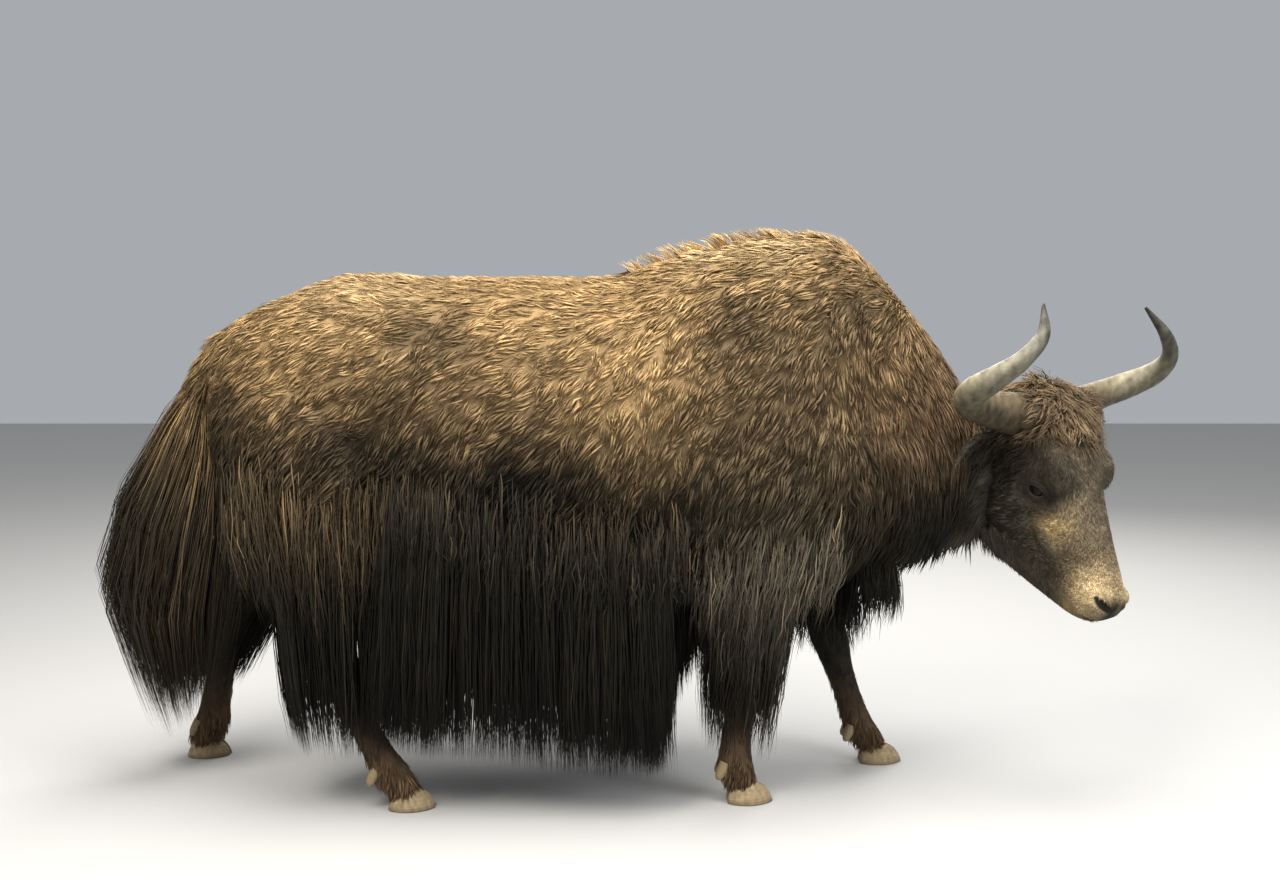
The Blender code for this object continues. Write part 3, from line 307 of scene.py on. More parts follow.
# Hair that falls over the skirt's root from flank, thigh and shoulder, and how far it stands out
FLANK = ((-0.72, 1.02, -0.74, 0.60), (-0.40, 0.98, -0.42, 0.50), (-0.10, 0.91, -0.12, 0.45),
         (0.14, 0.86, 0.12, 0.52))
FLANK_STAND = (0.400, 0.486, 0.496, 0.478)
THIGH_RIGHT = ((-0.62, 1.00, -0.66, 0.46), (-0.80, 1.04, -0.80, 0.38), (-1.00, 1.04, -0.96, 0.40),
               (-1.14, 1.02, -1.08, 0.50), (-1.22, 0.98, -1.16, 0.60))
THIGH_LEFT = ((-0.70, 1.00, -0.80, 0.46), (-0.90, 1.04, -1.00, 0.42), (-1.08, 1.04, -1.18, 0.42),
              (-1.18, 1.02, -1.28, 0.50), (-1.25, 0.98, -1.32, 0.60))
THIGH_STAND = (0.345, 0.440, 0.455, 0.410)
SHOULDER = ((0.20, 0.88, 0.18, 0.46), (0.33, 0.90, 0.28, 0.38), (0.47, 0.90, 0.40, 0.40),
            (0.60, 0.88, 0.52, 0.50))
SHOULDER_STAND = (0.340, 0.405, 0.385, 0.340)

# Hair hung round the legs and the tail: rows of four places, from the root to the tip
BREECH_RIGHT = (
    ((-0.755, -0.330, 0.840), (-0.750, -0.425, 0.720), (-0.748, -0.405, 0.450), (-0.765, -0.375, 0.200)),
    ((-0.900, -0.330, 0.850), (-0.900, -0.440, 0.720), (-0.895, -0.420, 0.430), (-0.890, -0.385, 0.160)),
    ((-1.030, -0.310, 0.850), (-1.050, -0.410, 0.710), (-1.040, -0.400, 0.430), (-1.010, -0.370, 0.170)),
    ((-1.060, -0.270, 0.830), (-1.110, -0.320, 0.700), (-1.100, -0.310, 0.430), (-1.060, -0.300, 0.190)),
    ((-1.030, -0.230, 0.820), (-1.080, -0.200, 0.680), (-1.070, -0.200, 0.440), (-1.040, -0.220, 0.240)),
)
BREECH_LEFT = (
    ((-1.020, 0.330, 0.840), (-1.080, 0.415, 0.700), (-1.260, 0.405, 0.450), (-1.370, 0.390, 0.260)),
    ((-1.130, 0.330, 0.850), (-1.200, 0.430, 0.700), (-1.370, 0.420, 0.440), (-1.450, 0.395, 0.200)),
    ((-1.230, 0.320, 0.840), (-1.360, 0.400, 0.700), (-1.480, 0.400, 0.440), (-1.540, 0.380, 0.180)),
    ((-1.270, 0.290, 0.820), (-1.430, 0.330, 0.690), (-1.570, 0.330, 0.440), (-1.620, 0.330, 0.200)),
    ((-1.270, 0.260, 0.810), (-1.420, 0.250, 0.680), (-1.550, 0.260, 0.440), (-1.600, 0.270, 0.240)),
)
# Fore leg hair, from the root to the tip: height, and offset round the leg's core along x and y
FORE_HAIR_RIGHT = ((0.740, 0.080, 0.070), (0.620, 0.145, 0.125), (0.400, 0.142, 0.120),
                   (0.135, 0.112, 0.098))
FORE_HAIR_LEFT = ((0.760, 0.080, 0.070), (0.680, 0.150, 0.120), (0.530, 0.145, 0.115),
                  (0.370, 0.110, 0.090))
# How many guides hang round a fore leg
SLEEVE_GUIDES = 8
TAIL_HAIR = (
    ((-1.372, 0.000, 1.300), (-1.590, 0.000, 1.075), (-1.757, 0.000, 0.700), (-1.580, 0.000, 0.130)),
    ((-1.370, -0.025, 1.290), (-1.560, -0.095, 1.045), (-1.710, -0.115, 0.670), (-1.545, -0.080, 0.150)),
    ((-1.380, -0.030, 1.240), (-1.450, -0.140, 0.990), (-1.560, -0.165, 0.620), (-1.480, -0.110, 0.170)),
    ((-1.370, -0.030, 1.200), (-1.300, -0.100, 0.960), (-1.330, -0.115, 0.600), (-1.385, -0.090, 0.230)),
    ((-1.365, 0.000, 1.180), (-1.275, 0.000, 0.960), (-1.225, 0.000, 0.640), (-1.330, 0.000, 0.260)),
    ((-1.370, 0.030, 1.200), (-1.310, 0.080, 0.960), (-1.340, 0.090, 0.600), (-1.385, 0.075, 0.230)),
    ((-1.380, 0.030, 1.240), (-1.460, 0.130, 0.990), (-1.560, 0.150, 0.620), (-1.480, 0.100, 0.170)),
    ((-1.370, 0.025, 1.290), (-1.560, 0.090, 1.045), (-1.710, 0.110, 0.670), (-1.545, 0.075, 0.150)),
)
BRISKET_HAIR = (
    ((0.480, -0.020, 0.780), (0.485, -0.030, 0.680), (0.490, -0.030, 0.520), (0.485, -0.025, 0.400)),
    ((0.600, -0.060, 0.770), (0.610, -0.080, 0.670), (0.615, -0.075, 0.530), (0.610, -0.065, 0.420)),
    ((0.690, -0.140, 0.760), (0.700, -0.175, 0.680), (0.705, -0.170, 0.580), (0.695, -0.150, 0.480)),
    ((0.770, -0.110, 0.760), (0.785, -0.130, 0.680), (0.790, -0.125, 0.590), (0.780, -0.115, 0.520)),
    ((0.800, 0.000, 0.760), (0.825, 0.000, 0.680), (0.835, 0.000, 0.580), (0.820, 0.000, 0.500)),
    ((0.770, 0.110, 0.760), (0.785, 0.130, 0.680), (0.790, 0.125, 0.590), (0.780, 0.115, 0.520)),
    ((0.690, 0.120, 0.760), (0.700, 0.140, 0.680), (0.705, 0.135, 0.600), (0.695, 0.130, 0.540)),
)
# Ridge of the hump: x and height, half its width, and the bristles' lean and rise from root to tip
CREST = ((0.00, 1.652), (0.15, 1.706), (0.30, 1.742), (0.45, 1.762), (0.60, 1.752), (0.68, 1.700))
CREST_HALF_WIDTH = 0.036
CREST_LEAN = -0.085
CREST_RISE = ((0.0, -0.045), (0.25, -0.020), (0.6, 0.004), (1.0, 0.022))

# Eye: its centre on the head, its radius, how far it looks forward, and the slant of its lids
EYE = Vector((0.257, -0.084, 0.121))
EYE_RADIUS = 0.026
EYE_TURN = math.radians(16)
LID_SLANT = math.radians(-35)
# Folds round an eye: steps round each and sides of its ring, then each one's half length, half height,
# thickness, stand and lift
RIM_STEPS = 40
RIM_SIDES = 12
LID_FOLDS = (
    (0.0285, 0.0190, 0.0064, 0.84, 0.0),
    (0.0400, 0.0310, 0.0052, 0.62, 0.001),
    (0.0520, 0.0430, 0.0050, 0.36, 0.004),
)
# Socket cut round the eyeball: how far out it lies, and its half sizes outwards, along the lids and across
SOCKET_OUT = 0.016
SOCKET_SIZE = (0.020, 0.027, 0.021)

# Nostril: forward, up, sideways and radius along its comma, from the outer tail to the front
NOSTRIL = (
    (0.606, -0.050, 0.094, 0.004),
    (0.625, -0.044, 0.091, 0.009),
    (0.645, -0.038, 0.083, 0.012),
    (0.661, -0.034, 0.067, 0.012),
    (0.673, -0.036, 0.050, 0.010),
    (0.682, -0.042, 0.034, 0.006),
)

# Line of the mouth: from the corner to the front of the lips, and the groove's width and depth
MOUTH_CORNER = (0.585, -0.176)
MOUTH_FRONT = (0.708, -0.094)
MOUTH_WIDTH = 0.013
MOUTH_DEPTH = 0.014

# Colours of the coat, as the light they send back
PALE = (0.620, 0.460, 0.250)
GOLD = (0.440, 0.285, 0.128)
TAN = (0.250, 0.162, 0.076)
BROWN = (0.115, 0.079, 0.043)
UMBER = (0.038, 0.028, 0.016)
BLACK = (0.011, 0.010, 0.007)
CREAM = (0.700, 0.520, 0.290)
CHEEK = (0.052, 0.044, 0.032)
# Mottling of the coat, partly random tone and partly painted shade in the hollows between clumps of hair:
# strength, size and seed of its waves
MOTTLING_AND_CLUMP_SHADE = ((0.13, 0.13, 23), (0.13, 0.05, 21), (0.10, 0.018, 22))
# Tones by height on the body, darker lower down: partly the coat's own colours, partly painted shade of
# light from above; and tones by height on the legs
BODY_TONES_AND_SHADE = ((0.60, BLACK), (0.95, UMBER), (1.12, BROWN), (1.30, TAN), (1.50, GOLD), (1.66, GOLD))
LEG_HEIGHTS = (0.05, 0.20, 0.35, 0.60, 0.85)
LEG_TONES = ((0.120, 0.075, 0.042), (0.060, 0.038, 0.022), BLACK, (0.024, 0.019, 0.013), UMBER)
# Patches on the body: x and z, reach along each, tone and strength
BODY_MARKS = (
    (-1.08, 1.46, 0.22, 0.15, GOLD, 0.7),
    (-0.62, 1.43, 0.12, 0.13, BROWN, 0.75),
    (-0.30, 1.30, 0.20, 0.12, TAN, 0.6),
    (0.00, 1.38, 0.16, 0.26, GOLD, 0.85),
    (0.06, 1.12, 0.10, 0.12, TAN, 0.7),
    (0.30, 1.76, 0.40, 0.09, PALE, 0.8),
    (0.33, 1.48, 0.16, 0.14, BROWN, 0.95),
    (0.66, 1.50, 0.20, 0.17, BROWN, 0.95),
    (0.46, 1.30, 0.24, 0.16, (0.140, 0.096, 0.052), 0.9),
    (0.42, 1.08, 0.26, 0.13, (0.100, 0.072, 0.040), 0.9),
    (0.40, 0.90, 0.25, 0.11, (0.105, 0.084, 0.056), 0.8),
    (-0.33, 1.045, 0.34, 0.085, BLACK, 1.0),
    (0.06, 0.950, 0.24, 0.075, BLACK, 0.8),
    (-0.74, 1.10, 0.12, 0.17, BLACK, 0.85),
    (-0.86, 1.08, 0.17, 0.11, UMBER, 0.95),
    (-0.98, 0.98, 0.16, 0.09, (0.120, 0.080, 0.042), 0.7),
    (-1.28, 1.10, 0.15, 0.24, UMBER, 0.9),
    (0.92, 1.28, 0.18, 0.20, (0.185, 0.117, 0.067), 0.85),
    (0.98, 0.92, 0.26, 0.17, BLACK, 1.0),
    (1.09, 1.05, 0.13, 0.20, BLACK, 0.9),
    (-0.86, 1.60, 0.24, 0.10, PALE, 0.35),
)
# Patches on the head: forward, up and aside, reach, tone and strength
HEAD_MARKS = (
    (0.06, 0.03, 0.03, 0.11, (0.180, 0.125, 0.072), 0.9),
    (0.20, 0.03, 0.04, 0.09, (0.170, 0.132, 0.088), 0.85),
    (0.42, 0.00, 0.03, 0.12, (0.155, 0.122, 0.080), 0.95),
    (0.385, -0.072, 0.098, 0.048, (0.440, 0.315, 0.160), 0.95),
    (0.33, -0.020, 0.075, 0.034, (0.260, 0.195, 0.115), 0.7),
    (0.52, -0.01, 0.04, 0.08, (0.170, 0.125, 0.072), 0.8),
    (0.61, -0.06, 0.05, 0.075, CREAM, 1.0),
    (0.50, -0.13, 0.06, 0.045, (0.060, 0.044, 0.026), 0.7),
    (0.61, -0.145, 0.05, 0.040, (0.270, 0.175, 0.080), 0.9),
    (0.300, -0.058, 0.116, 0.042, (0.010, 0.009, 0.006), 1.0),
    (0.258, -0.045, 0.132, 0.034, (0.022, 0.018, 0.012), 0.8),
    (0.257, -0.084, 0.128, 0.042, (0.010, 0.009, 0.006), 0.95),
    (0.688, -0.062, 0.018, 0.047, BLACK, 1.0),
    (0.674, -0.036, 0.052, 0.017, BLACK, 0.95),
    (0.668, -0.033, 0.028, 0.026, BLACK, 0.95),
    # The dark chin below the mouth is partly its own colour, partly painted shade under the upper lip
    (0.668, -0.165, 0.000, 0.046, UMBER, 0.95),
    (0.05, -0.18, 0.12, 0.13, BLACK, 0.8),
    (0.23, -0.285, 0.168, 0.075, BLACK, 0.9),
    (0.10, -0.12, 0.20, 0.07, (0.035, 0.028, 0.020), 0.8),
)
# The coat's lie in side view: x, z and reach, way along x and z, length, and lift in degrees
BODY_LIE = (
    (-1.25, 1.35, 0.22, -0.55, -0.85, 0.050, 24),
    (-1.00, 1.60, 0.28, -0.90, -0.45, 0.045, 24),
    (-0.55, 1.62, 0.30, -1.00, -0.12, 0.042, 26),
    (-0.05, 1.62, 0.28, -1.00, -0.15, 0.045, 26),
    (0.35, 1.72, 0.22, -1.00, -0.25, 0.058, 30),
    (0.70, 1.60, 0.20, -0.95, -0.50, 0.060, 26),
    (0.93, 1.32, 0.20, -0.26, -0.96, 0.070, 18),
    (1.08, 1.10, 0.18, -0.30, -0.95, 0.080, 16),
    (0.95, 0.88, 0.20, -0.12, -1.00, 0.100, 12),
    (0.50, 1.30, 0.25, -0.55, -0.85, 0.052, 26),
    (0.45, 0.94, 0.20, -0.30, -1.00, 0.088, 28),
    (0.05, 1.28, 0.25, -0.45, -0.90, 0.048, 24),
    (-0.35, 1.35, 0.28, -0.55, -0.85, 0.048, 26),
    (-0.30, 0.98, 0.22, -0.30, -0.95, 0.092, 30),
    (-0.85, 1.30, 0.25, -0.50, -0.90, 0.050, 26),
    (-0.95, 1.00, 0.20, -0.30, -0.95, 0.092, 28),
)

# Bare tip of the nose on the head: middle and half sizes
NOSE_TIP = (0.695, -0.070, 0.0)
NOSE_SIZE = (0.050, 0.052, 0.072)

# Length of the hair on the face, by how far it is past the throat, round the eyes and on the ears
FACE_STEPS = (0.0, 0.06, 0.14, 0.24, 0.40, 0.50)
FACE_LENGTHS = (0.064, 0.052, 0.030, 0.021, 0.015, 0.010)
EYELID_REACH = 0.065
EYELID_LENGTH = 0.009
EAR_LENGTH = 0.020
# How much longer it is below the throat, how far it hangs off the ears, and its lift in degrees
THROAT_LENGTH = 0.026
EAR_DROOP = np.array((0.0, 0.0, -0.25))
FACE_LIFT = 20
# Length of the hair on the legs by height, the way it lies, and its lift in degrees
SHIN_HEIGHTS = (0.05, 0.10, 0.16, 0.30, 0.60)
SHIN_LENGTHS = (0.030, 0.042, 0.030, 0.024, 0.050)
SHIN_WAY = (-0.10, 0, -1.0)
SHIN_LIFT = 13
# Shares of the width along a fine hair, a blade, a tuft and a long strand
SPIKE_PROFILE = (1.0, 0.0)
BLADE_PROFILE = (0.75, 1.0, 0.65, 0.0)
TUFT_PROFILE = (0.80, 1.0, 0.0)
STRAND_PROFILE = (0.25, 1.0, 0.95, 0.76, 0.0)
# Height of a strand's ridge as a share of its half width
RIDGE_SHARE = 0.55
STRAND_WIDTH = 0.0036
# Shares of a strand's sway at each of its four places
SWAY_SHARES = (0.4, 0.4, 0.7, 1.0)
# Some strands of long hair are fairer: their share, and by how much
FAIR_SHARE = 0.12
FAIR = (2.6, 2.4, 2.1)
# How many strands lead a lock, as a share of all
LOCK_SHARE = 0.06
# How wide a strand's patch is on the bake map, and the scale of the streaks across and along it
BAKE_PATCH = 0.003
STREAKS = (1500.0, 160.0, 1.0)
# Unwraps: a place on the axis and the axis
ROUND_BODY = ((0.0, 0.0, 1.10), (1.0, 0.0, 0.0))
ROUND_TAIL = ((-1.45, 0.0, 0.80), (0.2, 0.0, -1.0))
ROUND_HEAD = ((1.35, -0.20, 1.0), (0.35, -0.30, -0.90))
# No hair reaches lower than this
FLOOR_GAP = 0.004
# Hair gets shorter and flatter where less than this share of its lie follows the skin, as at a whorl
WHORL = 0.45
# Regions of the torso: name, and x where it begins and ends. The neck's hair begins further forward.
BANDS = (("rump", -2.0, -0.85), ("loin", -0.85, -0.35), ("barrel", -0.35, 0.15), ("hump", 0.15, 0.80))
NECK_START = 0.80
# How many tufts and how many fine hairs each region has
TUFTS = {"rump": 7500, "loin": 6500, "barrel": 6500, "hump": 9500, "neck": 5500, "face": 22000,
         "shins": 8000, "feathers": 2200}
FINE_FUR = {"rump": 14500, "loin": 13500, "barrel": 13500, "hump": 16500, "neck": 9000}
# Spread of short hair's turn about its lie and of its shade, and the length at which it is full width
TURN_SPREAD = 0.22
SHADE_SPREAD = 0.16
FULL_WIDTH_LENGTH = 0.045
# Looks of short hair: profile, width, factor of length, droop, pull into locks, share of leaders,
# and factors of tone at root and tip, lower at the root as painted shade near the skin
TUFTED = (TUFT_PROFILE, 0.0043, 1.25, 0.25, 0.60, 0.10, 0.80, 1.16)
FINE = (SPIKE_PROFILE, 0.0042, 1.00, 0.20, 0.50, 0.07, 0.74, 1.16)
FINE_NECK = (SPIKE_PROFILE, 0.0040, *FINE[2:])
NECK_BLADES = (BLADE_PROFILE, 0.0046, 1.25, 0.35, 0.55, 0.14, 0.50, 1.30)
FACE_FUR = (SPIKE_PROFILE, 0.0079, 1.0, 0.10, 0.18, 0.30, 1.12, 1.56)
SHIN_HAIR = (SPIKE_PROFILE, 0.0055, 1.0, 0.25, 0.35, 0.18, 0.70, 1.25)
FETLOCK = (TUFT_PROFILE, 0.0042, 1.55, 0.55, 0.50, 0.14, 0.80, 1.60)
# Tones of long hair from root to tip
DARK = ((0.022, 0.018, 0.012), (0.012, 0.010, 0.007), (0.008, 0.007, 0.005), (0.010, 0.008, 0.006))
SHAGGY = ((0.120, 0.100, 0.070), (0.115, 0.097, 0.069), (0.080, 0.067, 0.049), (0.032, 0.027, 0.019))
SLEEVE = ((0.120, 0.100, 0.070), (0.105, 0.088, 0.063), (0.040, 0.034, 0.025), (0.015, 0.013, 0.010),
          (0.040, 0.029, 0.018))
FLANK_TONES = ((0.036, 0.030, 0.020), (0.026, 0.022, 0.015), (0.013, 0.011, 0.008), (0.012, 0.010, 0.007))
THIGH_TONES = ((0.100, 0.068, 0.036), (0.064, 0.045, 0.025), (0.024, 0.019, 0.012), (0.018, 0.015, 0.010))
TAIL_TONES = ((0.110, 0.086, 0.056), (0.036, 0.028, 0.018), (0.024, 0.018, 0.012))
RIDGE_TONES = ((0.20, 0.13, 0.06), GOLD, (0.52, 0.37, 0.19))
POLL_TONES = ((0.050, 0.035, 0.021), (0.150, 0.098, 0.056), (0.280, 0.200, 0.115))
CHEEK_TONES = ((0.018, 0.015, 0.011), (0.032, 0.026, 0.018), (0.060, 0.048, 0.032))
# Layers of a skirt, from the outside in: how deep, and how wide its strands are
SKIRT_LAYERS = (((0.0, 0.18), STRAND_WIDTH), ((0.12, 0.45), STRAND_WIDTH), ((0.35, 0.60), 0.0080))
# Each side's skirt, its strands in each layer, its thigh's hair, and the share of falling hair
CURTAINS = {
    "right": (SKIRT_RIGHT, (2500, 1500, 500), THIGH_RIGHT, 1.0),
    "left": (SKIRT_LEFT, (2100, 1200, 400), THIGH_LEFT, 0.7),
}
# How each kind of long hair hangs. Depth is how far inside its guides a strand lies, reach how much of their
# length it has, stagger and layers how its root moves, and blend how far the coat's own colour runs down it.
SKIRT_HANG = {"reach": (1.02, 1.24), "stagger": 0.10, "layers": 0.14, "blend": 0.3, "wave": 0.020,
              "pull": 0.32}
FALL_HANG = {"depth": (0.0, 0.15), "sway": 0.05, "reach": (0.45, 1.04), "stagger": 0.13, "blend": 0.6,
             "layers": 0.45, "wave": 0.024}
TAIL_HANG = {"closed": True, "depth": (0.0, 0.7), "sway": 0.02, "stagger": 0.07, "blend": 0.35,
             "reach": (0.80, 1.06)}
BREECH_HANG = {"layers": 0.2, "reach": (0.95, 1.20), "pull": 0.32}
SLEEVE_HANG = {"closed": True, "depth": (0.0, 0.5), "reach": (0.75, 1.20), "stagger": 0.08, "layers": 0.50,
               "wave": 0.024, "pull": 0.35}
BRISKET_HANG = {"reach": (0.35, 1.10), "stagger": 0.05, "sway": 0.06, "wave": 0.022}
CREST_HANG = {"depth": (0.0, 0.0), "sway": 0.030, "width": 0.0040, "pull": 0.2, "reach": (0.5, 1.1)}
# Places on the head that grow curls: middle, reach along each axis, edge, count and length
MOP = ((0.030, 0.030, 0.0), (0.150, 0.080, 0.140), -0.7, 1700, 0.085)
RUFF = ((0.120, -0.170, 0.150), (0.110, 0.150, 0.060), -0.6, 520, 0.080)
# Hair round a horn's root: how many steps of the horn's path it grows on, its length, count and width
COLLAR_REACH = 21
COLLAR_LENGTH = 0.080
COLLAR_COUNT = 620
COLLAR_WIDTH = 0.0038

# Colour of the painted highlights on the lids, then colours of the eye, the horns from root to tip, and the
# claws
LID_HIGHLIGHT_TONE = (0.054, 0.045, 0.035)
EYE_BLACK = (0.008, 0.006, 0.005)
EYE_IRIS = (0.014, 0.007, 0.004)
EYE_PUPIL = (0.004, 0.004, 0.005)
HORN_TONES = ((0.062, 0.046, 0.027), (0.088, 0.067, 0.039), (0.135, 0.108, 0.066), (0.235, 0.204, 0.138),
              (0.235, 0.212, 0.152), (0.130, 0.120, 0.092), (0.036, 0.033, 0.027))
HORN_FLECK = (0.150, 0.070, 0.028)
CLAW_TONE = (0.300, 0.225, 0.130)
CLAW_SOIL = (0.120, 0.090, 0.060)
# Painted highlights along the ridges of an eye's lids: half length, half height and strength
LID_HIGHLIGHTS = ((0.0270, 0.0165, 0.85), (0.0390, 0.0275, 0.65))
# Rings and sides of an eyeball
EYE_RINGS = 48
EYE_SIDES = 64
# Steps along a horn, sides round it, how close its growth rings are, and a way aside of its root
HORN_STEPS = 150
HORN_SIDES = 56
HORN_RINGS = 150
HORN_SIDE = (0.2, 0.5, 0.8)
# Height of a horn's grain and growth rings, and how far its surface lies inside the solid's
HORN_GRAIN = 0.0016
HORN_RING_HEIGHT = 0.0014
HORN_TRIM = 0.0025

# Studio: camera, floor, surroundings and lights (name, place, size, power, colour)
LENS = 46.77
SENSOR_WIDTH = 36.0
CAMERA_PLACE = (0.010, -5.218, 1.60)
CAMERA_DIP = math.radians(5.33)
FLOOR_REACH = 14.0
FLOOR_DROP = 0.001
FLOOR_TONE = (0.50, 0.49, 0.475, 1.0)
SKY_TONE = (0.86, 0.90, 0.95, 1.0)
WORLD_STRENGTH = 0.45
LIGHTS_AIM = (0.0, 0.0, 1.0)
LIGHTS = (
    ("key", (-2.5, -4.5, 5.5), 3.0, 420, (1.0, 0.96, 0.90)),
    ("top", (0.3, -0.5, 5.0), 4.0, 360, (1.0, 0.98, 0.95)),
    ("fill", (4.5, -3.5, 2.8), 3.0, 190, (0.94, 0.97, 1.0)),
    ("rim", (1.5, 5.0, 4.0), 3.0, 180, (1.0, 0.98, 0.94)),
)


def smooth_rows(rows, count):
    """Catmull-Rom rows through the given rows, evenly spaced between the first and the last."""
    table = np.array(rows, float)
    padded = np.vstack([2 * table[0] - table[1], table, 2 * table[-1] - table[-2]])
    made = []
    for step in np.linspace(0, len(table) - 1, count):
        i = min(int(step), len(table) - 2)
        t = step - i
        p0, p1, p2, p3 = padded[i : i + 4]
        bend = (2 * p0 - 5 * p1 + 4 * p2 - p3) * t * t
        made.append(0.5 * (2 * p1 + (p2 - p0) * t + bend + (3 * p1 - p0 - 3 * p2 + p3) * t**3))
    return made


def angles(count):
    """Even steps round a circle."""
    return [2 * math.pi * k / count for k in range(count)]


def linked(name, data):
    """A new object of the scene that holds some data."""
    obj = bpy.data.objects.new(name, data)
    bpy.context.scene.collection.objects.link(obj)
    return obj


def new_object(name, bm):
    """A mesh object made from a bmesh, with its faces pointing out."""
    bmesh.ops.recalc_face_normals(bm, faces=bm.faces[:])
    mesh = bpy.data.meshes.new(name)
    bm.to_mesh(mesh)
    bm.free()
    return linked(name, mesh)


def loft(name, rings):
    """A closed tube through rings of points, with a flat cap at each end."""
    bm = bmesh.new()
    rows = [[bm.verts.new(p) for p in ring] for ring in rings]
    for low, high in zip(rows, rows[1:]):
        for i in range(len(low)):
            j = (i + 1) % len(low)
            bm.faces.new((low[i], low[j], high[j], high[i]))
    bm.faces.new(rows[0][::-1])
    bm.faces.new(rows[-1])
    return new_object(name, bm)


def egg(half_width, up, down, peak, depth):
    """Points (side, height) of an egg-shaped ring, drawn in by a depth. A peak above 1 narrows it above."""
    points = []
    for t in angles(RING_SIDES):
        c, s = math.cos(t), math.sin(t)
        power = peak if s > 0 else BELLY_PEAK
        reach = (up if s > 0 else down) - depth
        points.append((math.copysign(abs(c) ** power, c) * (half_width - depth), s * reach))
    return points


def torso_loft():
    """The trunk, from the rump to the chest."""
    rings = []
    for x, z, up, down, half, peak in smooth_rows(TORSO, BODY_RINGS):
        rings.append([Vector((x, y, z + h)) for y, h in egg(half, up, down, peak, DEPTH["torso"])])
    return loft("torso", rings)


def neck_loft():
    """The neck, which hangs low before the hump."""
    rings = []
    for x, y0, z, tilt, up, down, half in smooth_rows(NECK, THIN_RINGS):
        lean = Matrix.Rotation(math.radians(tilt), 3, "Y")
        middle = Vector((x, y0, z))
        ring = egg(half, up, down, NECK_PEAK, DEPTH["neck"])
        rings.append([middle + lean @ Vector((0, y, h)) for y, h in ring])
    return loft("neck", rings)


def head_axes():
    """The head's axes in the body's frame: forward along the face, up out of the forehead, and left."""
    heading = Vector((math.cos(HEAD_TURN), -math.sin(HEAD_TURN), 0))
    left = Vector((math.sin(HEAD_TURN), math.cos(HEAD_TURN), 0))
    down = Vector((0, 0, -1))
    forward = heading * math.cos(HEAD_PITCH) + down * math.sin(HEAD_PITCH)
    up = heading * math.sin(HEAD_PITCH) - down * math.cos(HEAD_PITCH)
    roll = Matrix.Rotation(HEAD_ROLL, 3, forward)
    return forward, roll @ up, roll @ left


HEAD_FORWARD, HEAD_UP, HEAD_LEFT = head_axes()
HEAD_AXES = np.array([HEAD_FORWARD, HEAD_UP, HEAD_LEFT])


def on_head(forward, up, left):
    """A place given on the head, in the body's frame."""
    return POLL + HEAD_FORWARD * forward + HEAD_UP * up + HEAD_LEFT * left


def mirrored(place, hand):
    """A place given on the left of the head, put on either side, in the body's frame."""
    return on_head(place.x, place.y, place.z * hand)


def head_loft():
    """The skull and jaws, from the poll to the nose."""
    rings = []
    for a, b, up, down, half, square, narrow in smooth_rows(HEAD, BODY_RINGS):
        ring = []
        for side, h in egg(half, up, down, square, DEPTH["head"]):
            taper = 1 - narrow * max(0.0, -h / down) ** JAW_TAPER
            ring.append(on_head(a, b + h, side * taper))
        rings.append(ring)
    return loft("head", rings)


def ellipsoid(name, middle, axes, sizes):
    """A closed egg round a middle, with its half sizes along three given axes."""
    rows = []
    for i in range(1, EGG_RINGS):
        t = math.pi * i / EGG_RINGS
        row = []
        for s in angles(EGG_SIDES):
            local = (-math.cos(t), math.sin(t) * math.cos(s), math.sin(t) * math.sin(s))
            place = middle.copy()
            for axis, size, amount in zip(axes, sizes, local):
                place += axis * size * amount
            row.append(place)
        rows.append(row)
    return loft(name, rows)


def head_masses():
    """Brows, cheeks, nostril wings, lips and jaw muscles, on both sides."""
    axes = (HEAD_FORWARD, HEAD_UP, HEAD_LEFT)
    made = []
    for a, b, side, *sizes in HEAD_MASSES:
        inner = [size - DEPTH["head"] * 0.7 for size in sizes]
        for hand in SIDES.values():
            made.append(ellipsoid("mass", on_head(a, b, side * hand), axes, inner))
    return made


def tube(name, stations, sides):
    """A closed tube through centres and radii, with rings square to its path."""
    centres = [centre for centre, _ in stations]
    rings = []
    side = None
    for i, (centre, radius) in enumerate(stations):
        along = (centres[min(i + 1, len(centres) - 1)] - centres[max(i - 1, 0)]).normalized()
        if side is None:
            side = along.orthogonal()
        side = (side - along * side.dot(along)).normalized()
        other = along.cross(side)
        rings.append([centre + (side * math.cos(t) + other * math.sin(t)) * radius for t in angles(sides)])
    return loft(name, rings)


def leg_at(name, z):
    """The leg core's x, y and half sizes at a height."""
    rows = np.array(LEGS[name], float)[::-1]
    return [float(np.interp(z, rows[:, 0], rows[:, column])) for column in (1, 2, 3, 4)]


def leg_loft(name):
    """A leg, drawn in by the depth of its coat, with knee, cannon bone and fetlock from its stations."""
    depths = [DEPTH[part] for part in ("foot", "leg_low", "leg_low", "leg_top")]
    rings = []
    for z, x, y, rx, ry in smooth_rows(LEGS[name], BODY_RINGS):
        depth = np.interp(z, LEG_DEPTH_HEIGHTS, depths)
        rx, ry = rx - depth, ry - depth
        rings.append([(x + rx * math.cos(t), y + ry * math.sin(t), z) for t in angles(RING_SIDES)])
    return loft("leg", rings)


def ear_frame(hand):
    """Root and tip of an ear, and the way its cup opens."""
    root = mirrored(EAR_ROOT, hand)
    tip = mirrored(EAR_TIP, hand)
    opening = HEAD_FORWARD * EAR_OPENING.x + HEAD_UP * EAR_OPENING.y + HEAD_LEFT * EAR_OPENING.z * hand
    along = (tip - root).normalized()
    return root, tip, (opening - along * opening.dot(along)).normalized()


